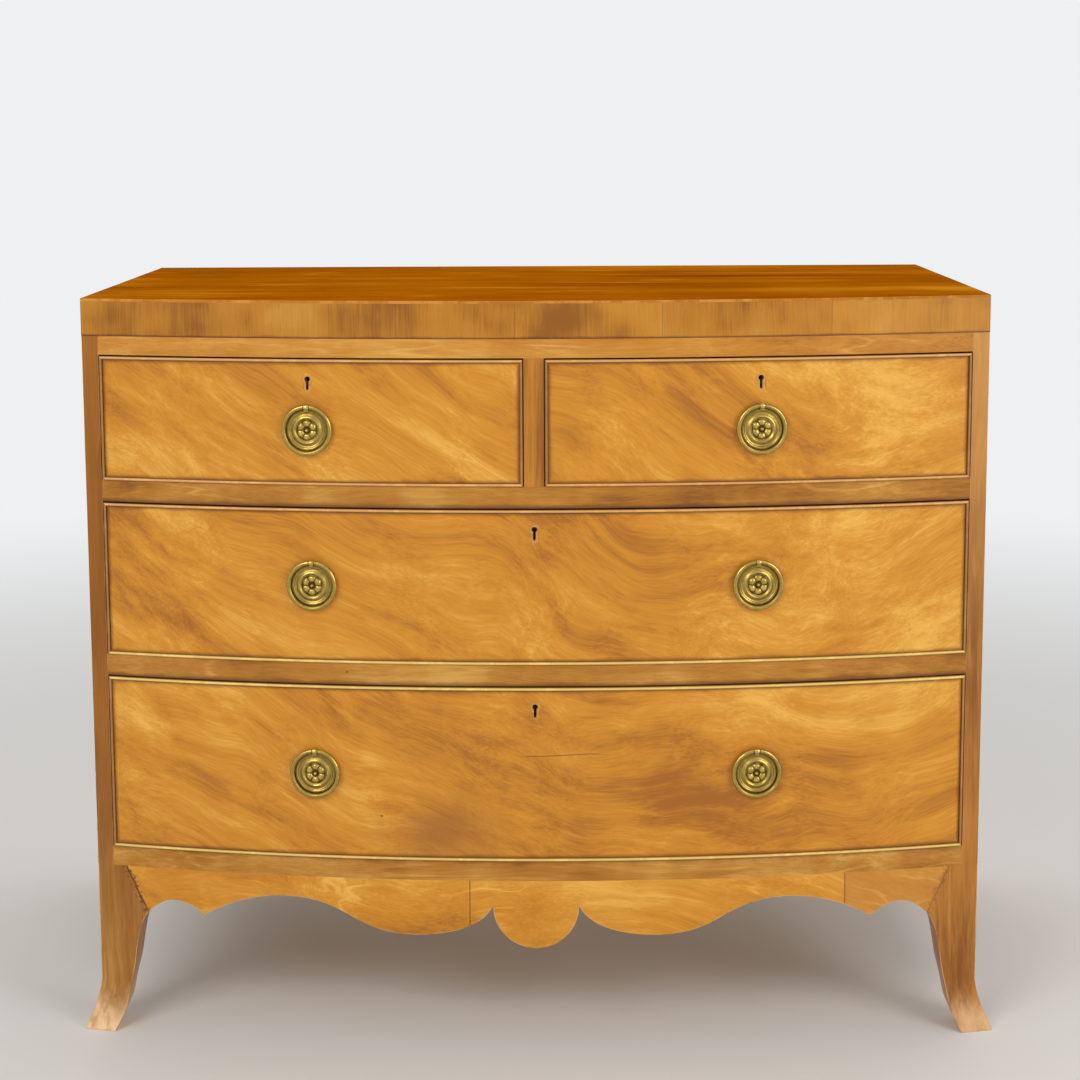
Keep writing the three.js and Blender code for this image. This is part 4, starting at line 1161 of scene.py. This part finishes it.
# Distance from the middle, height above the drawer front (in millimetres) and relief
plate_profile = [
    (0.0, 6.0, 1.0), (1.0, 5.8, 1.0), (1.7, 5.1, 0.8), (2.2, 4.1, 0.3), (2.8, 3.3, 0.0),
    (3.6, 3.2, 0.05), (4.3, 3.8, 0.5), (5.0, 4.5, 0.8), (6.0, 4.9, 0.95), (7.2, 5.0, 1.0),
    (8.2, 5.0, 0.95), (9.0, 4.9, 0.9), (9.8, 4.6, 0.85), (10.5, 4.1, 0.7), (11.1, 3.4, 0.5),
    (11.7, 3.0, 0.35), (12.3, 3.2, 0.45), (13.0, 3.9, 0.7), (13.9, 4.3, 0.9), (14.8, 4.1, 0.8),
    (15.8, 3.4, 0.6), (16.8, 2.8, 0.5), (17.8, 2.5, 0.45), (18.5, 2.7, 0.6), (19.1, 3.0, 0.8),
    (19.6, 2.6, 0.35), (20.2, 3.1, 0.85), (20.8, 3.2, 0.9), (21.3, 2.7, 0.4), (21.9, 2.7, 0.7),
    (22.5, 2.2, 0.5), (23.0, 1.6, 0.25), (23.8, 1.5, 0.4), (24.3, 1.35, 0.6), (24.6, 0.9, 0.5),
    (24.6, 0.0, 0.1), (0.0, 0.0, 0.1),
]
PETALS = 6
PETAL_IN, PETAL_OUT = 3.9 * MM, 11.8 * MM
PETAL_FLOOR = 3.1 * MM
PETAL_NOTCH = 1.6 * MM
PETAL_ROUND = 1.6 * MM
PETAL_FULLNESS = 0.17
HOLLOW_RELIEF = 0.15


def spun(shape, verts, edges, steps, axis):
    """Spins a line or a closed section once round an axis through the origin."""
    bmesh.ops.spin(shape, geom=verts + edges, cent=(0, 0, 0), axis=axis,
                   angle=2 * math.pi, steps=steps, use_merge=True)


def turned_plate():
    """The plate about its own middle, facing the room, which is towards -Y."""
    plate = bmesh.new()
    layer = plate.verts.layers.float.new("relief")
    profile = []
    for radius, rise, relief in plate_profile:
        vert = plate.verts.new((radius * MM, -rise * MM, 0))
        vert[layer] = relief
        profile.append(vert)
    edges = [plate.edges.new(pair) for pair in zip(profile, profile[1:])]
    spun(plate, profile, edges, SPIN_STEPS, (0, 1, 0))
    bmesh.ops.remove_doubles(plate, verts=plate.verts, dist=0.002 * MM)
    for vert in plate.verts:
        radius = math.hypot(vert.co.x, vert.co.z)
        if PETAL_IN < radius < PETAL_OUT and vert.co.y < -PETAL_FLOOR:
            lobe = 0.5 + 0.5 * math.cos(PETALS * math.atan2(vert.co.x, vert.co.z))
            tip = PETAL_OUT - PETAL_NOTCH * (1 - lobe)
            swell = lobe ** PETAL_FULLNESS * max(0, min(1, (tip - radius) / PETAL_ROUND))
            vert.co.y = -PETAL_FLOOR + (vert.co.y + PETAL_FLOOR) * swell
            vert[layer] *= HOLLOW_RELIEF + (1 - HOLLOW_RELIEF) * swell
    return outward(plate)


print("plate profile:", len(plate_profile), "points")

# %% Knuckle, neck, post and nut
RING_RADIUS = 25.6 * MM
WIRE_RADIUS = 2.6 * MM
STANDOFF = 4.6 * MM
RING_START = 3.3 * MM
PIVOT_HEIGHT = math.sqrt(RING_RADIUS ** 2 - RING_START ** 2)
KNUCKLE_STEPS = 28
POST_SIDES = 20
SMALL_EDGE = 0.4 * MM
# The knuckle's section: distance along its pin and distance from the pin, in millimetres
knuckle_section = [
    (-2.9, 1.7), (-3.0, 2.2), (-2.6, 2.8), (-1.5, 3.2), (0.0, 3.3), (1.5, 3.2), (2.6, 2.8),
    (3.0, 2.2), (2.9, 1.7),
]


def knuckle():
    """The barrel that the ring hangs from."""
    shape = bmesh.new()
    edges = loop_of(shape, [(x * MM, 0, radius * MM) for x, radius in knuckle_section])
    spun(shape, shape.verts[:], edges, KNUCKLE_STEPS, (1, 0, 0))
    return move(outward(shape), (0, -STANDOFF, PIVOT_HEIGHT))


def small_block(low, high):
    """A block between two corners in millimetres, with its edges softened."""
    shape = bmesh.new()
    bmesh.ops.create_cube(shape, size=1)
    low, high = Vector(low) * MM, Vector(high) * MM
    bmesh.ops.scale(shape, vec=high - low, verts=shape.verts)
    move(shape, (low + high) / 2)
    soften(shape, shape.edges[:], SMALL_EDGE)
    return shape


def screw_post(radius, y0, y1):
    """The post behind the plate, sized in millimetres, with a small chamfer at its end."""
    shape = bmesh.new()
    bmesh.ops.create_cone(shape, cap_ends=True, segments=POST_SIDES, radius1=radius * MM,
                          radius2=radius * MM, depth=(y1 - y0) * MM)
    bmesh.ops.rotate(shape, matrix=Matrix.Rotation(math.pi / 2, 3, "X"), verts=shape.verts)
    move(shape, (0, (y0 + y1) / 2 * MM, 0))
    soften(shape, [edge for edge in shape.edges if edge.calc_face_angle(0) > SHARP], SMALL_EDGE)
    return shape


def whole_plate():
    """Plate, knuckle, neck, post and nut about the plate's middle, each with its relief."""
    whole = turned_plate()
    for part, relief in (
            (knuckle(), 0.95),
            (small_block((-2.4, -5.6, 20.4), (2.4, -0.2, PIVOT_HEIGHT / MM - 1.9)), 0.5),
            (screw_post(2.5, -0.5, 27), 0.25),
            (small_block((-6, 22.3, -6), (6, 25.8, 6)), 0.35)):
        add_shape(whole, mark_points(part, "relief", lambda place: relief))
    return move(whole, (0, -PLATE_GAP, 0))


print("pivot", round(PIVOT_HEIGHT / MM, 2), "mm above the middle of the plate")

# %% The ring
WIRE_SIDES = 16
RING_STEPS = 72
PIN_RADIUS = 1.4 * MM
PIN_LENGTH = 2.2 * MM
WIRE_EDGE = 0.35 * MM


def wire_loop(centre, across, radius):
    """A round section of the wire, square to its run."""
    return [centre + across * (radius * math.cos(2 * math.pi * i / WIRE_SIDES))
            + Vector((0, radius * math.sin(2 * math.pi * i / WIRE_SIDES), 0))
            for i in range(WIRE_SIDES)]


def ring_end(side):
    """Sections from the pin inside the knuckle out to the full wire."""
    return [wire_loop(Vector((side * along, 0, PIVOT_HEIGHT)), Vector((0, 0, side)), radius)
            for along, radius in ((RING_START - PIN_LENGTH, PIN_RADIUS), (RING_START, PIN_RADIUS),
                                  (RING_START, WIRE_RADIUS - WIRE_EDGE),
                                  (RING_START + WIRE_EDGE, WIRE_RADIUS))]


def hanging_ring():
    """The ring about the plate's middle, hanging from the knuckle."""
    start = math.asin(RING_START / RING_RADIUS)
    sections = ring_end(1)
    for i in range(2, RING_STEPS - 1):
        angle = start + 2 * (math.pi - start) * i / RING_STEPS
        across = Vector((math.sin(angle), 0, math.cos(angle)))
        sections.append(wire_loop(across * RING_RADIUS, across, WIRE_RADIUS))
    ring = mark_points(skin(sections + ring_end(-1)[::-1]), "relief", lambda place:
                       0.55 if math.hypot(place.x, place.z) < RING_RADIUS else 0.85)
    return move(ring, (0, -STANDOFF - PLATE_GAP, 0))


print("ring of", RING_STEPS, "steps")


# %% Ring pulls
def seated(shape, x, z):
    """Moves a fitting to its place on the bow, turned square to it."""
    bmesh.ops.transform(shape, verts=shape.verts, matrix=Matrix.Translation((x, bow_y(x), z))
                        @ Matrix.Rotation(math.asin(x / BOW_RADIUS), 4, "Z"))
    return shape


pull_rows = [("drawer_top_left", ""), ("drawer_top_right", ""), ("drawer_middle", "_left"),
             ("drawer_middle", "_right"), ("drawer_bottom", "_left"), ("drawer_bottom", "_right")]
for drawer, place in pull_rows:
    pull = f"{drawer}_pull{place}"
    low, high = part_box(f"{pull}_ring")
    x, z = (low.x + high.x) / 2, low.z + RING_RADIUS + WIRE_RADIUS
    mesh_piece(f"{pull}_plate", seated(whole_plate(), x, z), [brass], drawer,
               f"{pull}_backplate")
    mesh_piece(f"{pull}_hanging_ring", seated(hanging_ring(), x, z), [brass], pull,
               f"{pull}_ring")

# %% [markdown]
# ## Keyhole linings
# A thread of brass lines each keyhole, so that the key can't wear the wood. Its two
# outlines are the same keyhole, one grown by the thickness of the metal. The space
# between them is filled flat and then drawn out, because bridging two such loops in
# one plane twists the faces across the hole.

# %% Keyhole linings
HEAD_RADIUS = 3 * MM
SLOT_WIDTH = 2.8 * MM
KEYHOLE_LENGTH = 15 * MM
LINING_WALL = 3 * MM
LINING_DEPTH = 3 * MM
LINING_PROUD = 0.15 * MM
LINING_EDGE = 0.3 * MM
KEYHOLE_DROP = 22 * MM
HEAD_STEPS = 28
FOOT_ARC_STEPS = 10


def keyhole(grow):
    """Points of the keyhole's outline at the lining's depth, grown by some metal."""
    radius, slot = HEAD_RADIUS + grow, SLOT_WIDTH / 2 + grow
    foot = HEAD_RADIUS - KEYHOLE_LENGTH + SLOT_WIDTH / 2
    opening = math.asin(slot / radius)
    points = []
    for i in range(HEAD_STEPS + 1):
        angle = opening - math.pi / 2 + (2 * math.pi - 2 * opening) * i / HEAD_STEPS
        points.append((radius * math.cos(angle), LINING_DEPTH, radius * math.sin(angle)))
    for i in range(FOOT_ARC_STEPS + 1):
        angle = math.pi + math.pi * i / FOOT_ARC_STEPS
        points.append((slot * math.cos(angle), LINING_DEPTH, foot + slot * math.sin(angle)))
    return points


for drawer, *_ in front_rows:
    low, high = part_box(f"{drawer}_keyhole_lining")
    lining = bmesh.new()
    rims = [*loop_of(lining, keyhole(LINING_WALL)), *loop_of(lining, keyhole(0))]
    bmesh.ops.triangle_fill(lining, edges=rims, use_beauty=True)
    drawn_out(lining, (0, -LINING_DEPTH - LINING_PROUD, 0))
    soften(lining, [edge for edge in lining.edges if edge.calc_face_angle(0) > SHARP
                    and all(vert.co.y < 0 for vert in edge.verts)], LINING_EDGE)
    seated(lining, (low.x + high.x) / 2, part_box(f"{drawer}_front")[1].z - KEYHOLE_DROP)
    mesh_piece(f"{drawer}_keyhole_thread", mark_points(lining, "relief", lambda place: 0.5),
               [thread_brass], drawer, f"{drawer}_keyhole_lining")

# %% [markdown]
# ## Inside the drawers
# The linings of the drawers, the locks and the back boards show only from behind or
# when a drawer is open. Their solids are already the right shape, so they keep it and
# only get a finish. The iron of the locks is dark and a little rusty.

# %% Lock iron and the solids that stay
iron, shader, place = blank_finish("lock_iron")
rust = ramp(noise(place, 90, 5, 0.7), 0.42, 0.68)
fill(shader, {"Base Color": blend(rust, (92, 88, 84), (98, 62, 40)), "Metallic": 0.8,
              "Roughness": ramp(rust, 0, 1, 0.42, 0.75)})

kept_rows = [("_side_left", lining_finish), ("_side_right", lining_finish),
             ("_back", upright_lining), ("_bottom", lining_finish), ("_lock_case", iron),
             ("_lock_bolt", iron)]
kept = {node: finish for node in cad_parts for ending, finish in kept_rows
        if node.startswith("drawer") and node.endswith(ending)}
for node, finish in {**kept, "back_panel": back_finish}.items():
    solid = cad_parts[node].data
    solid.materials.clear()
    solid.materials.append(finish)
print(len(kept) + 1, "solids finished")
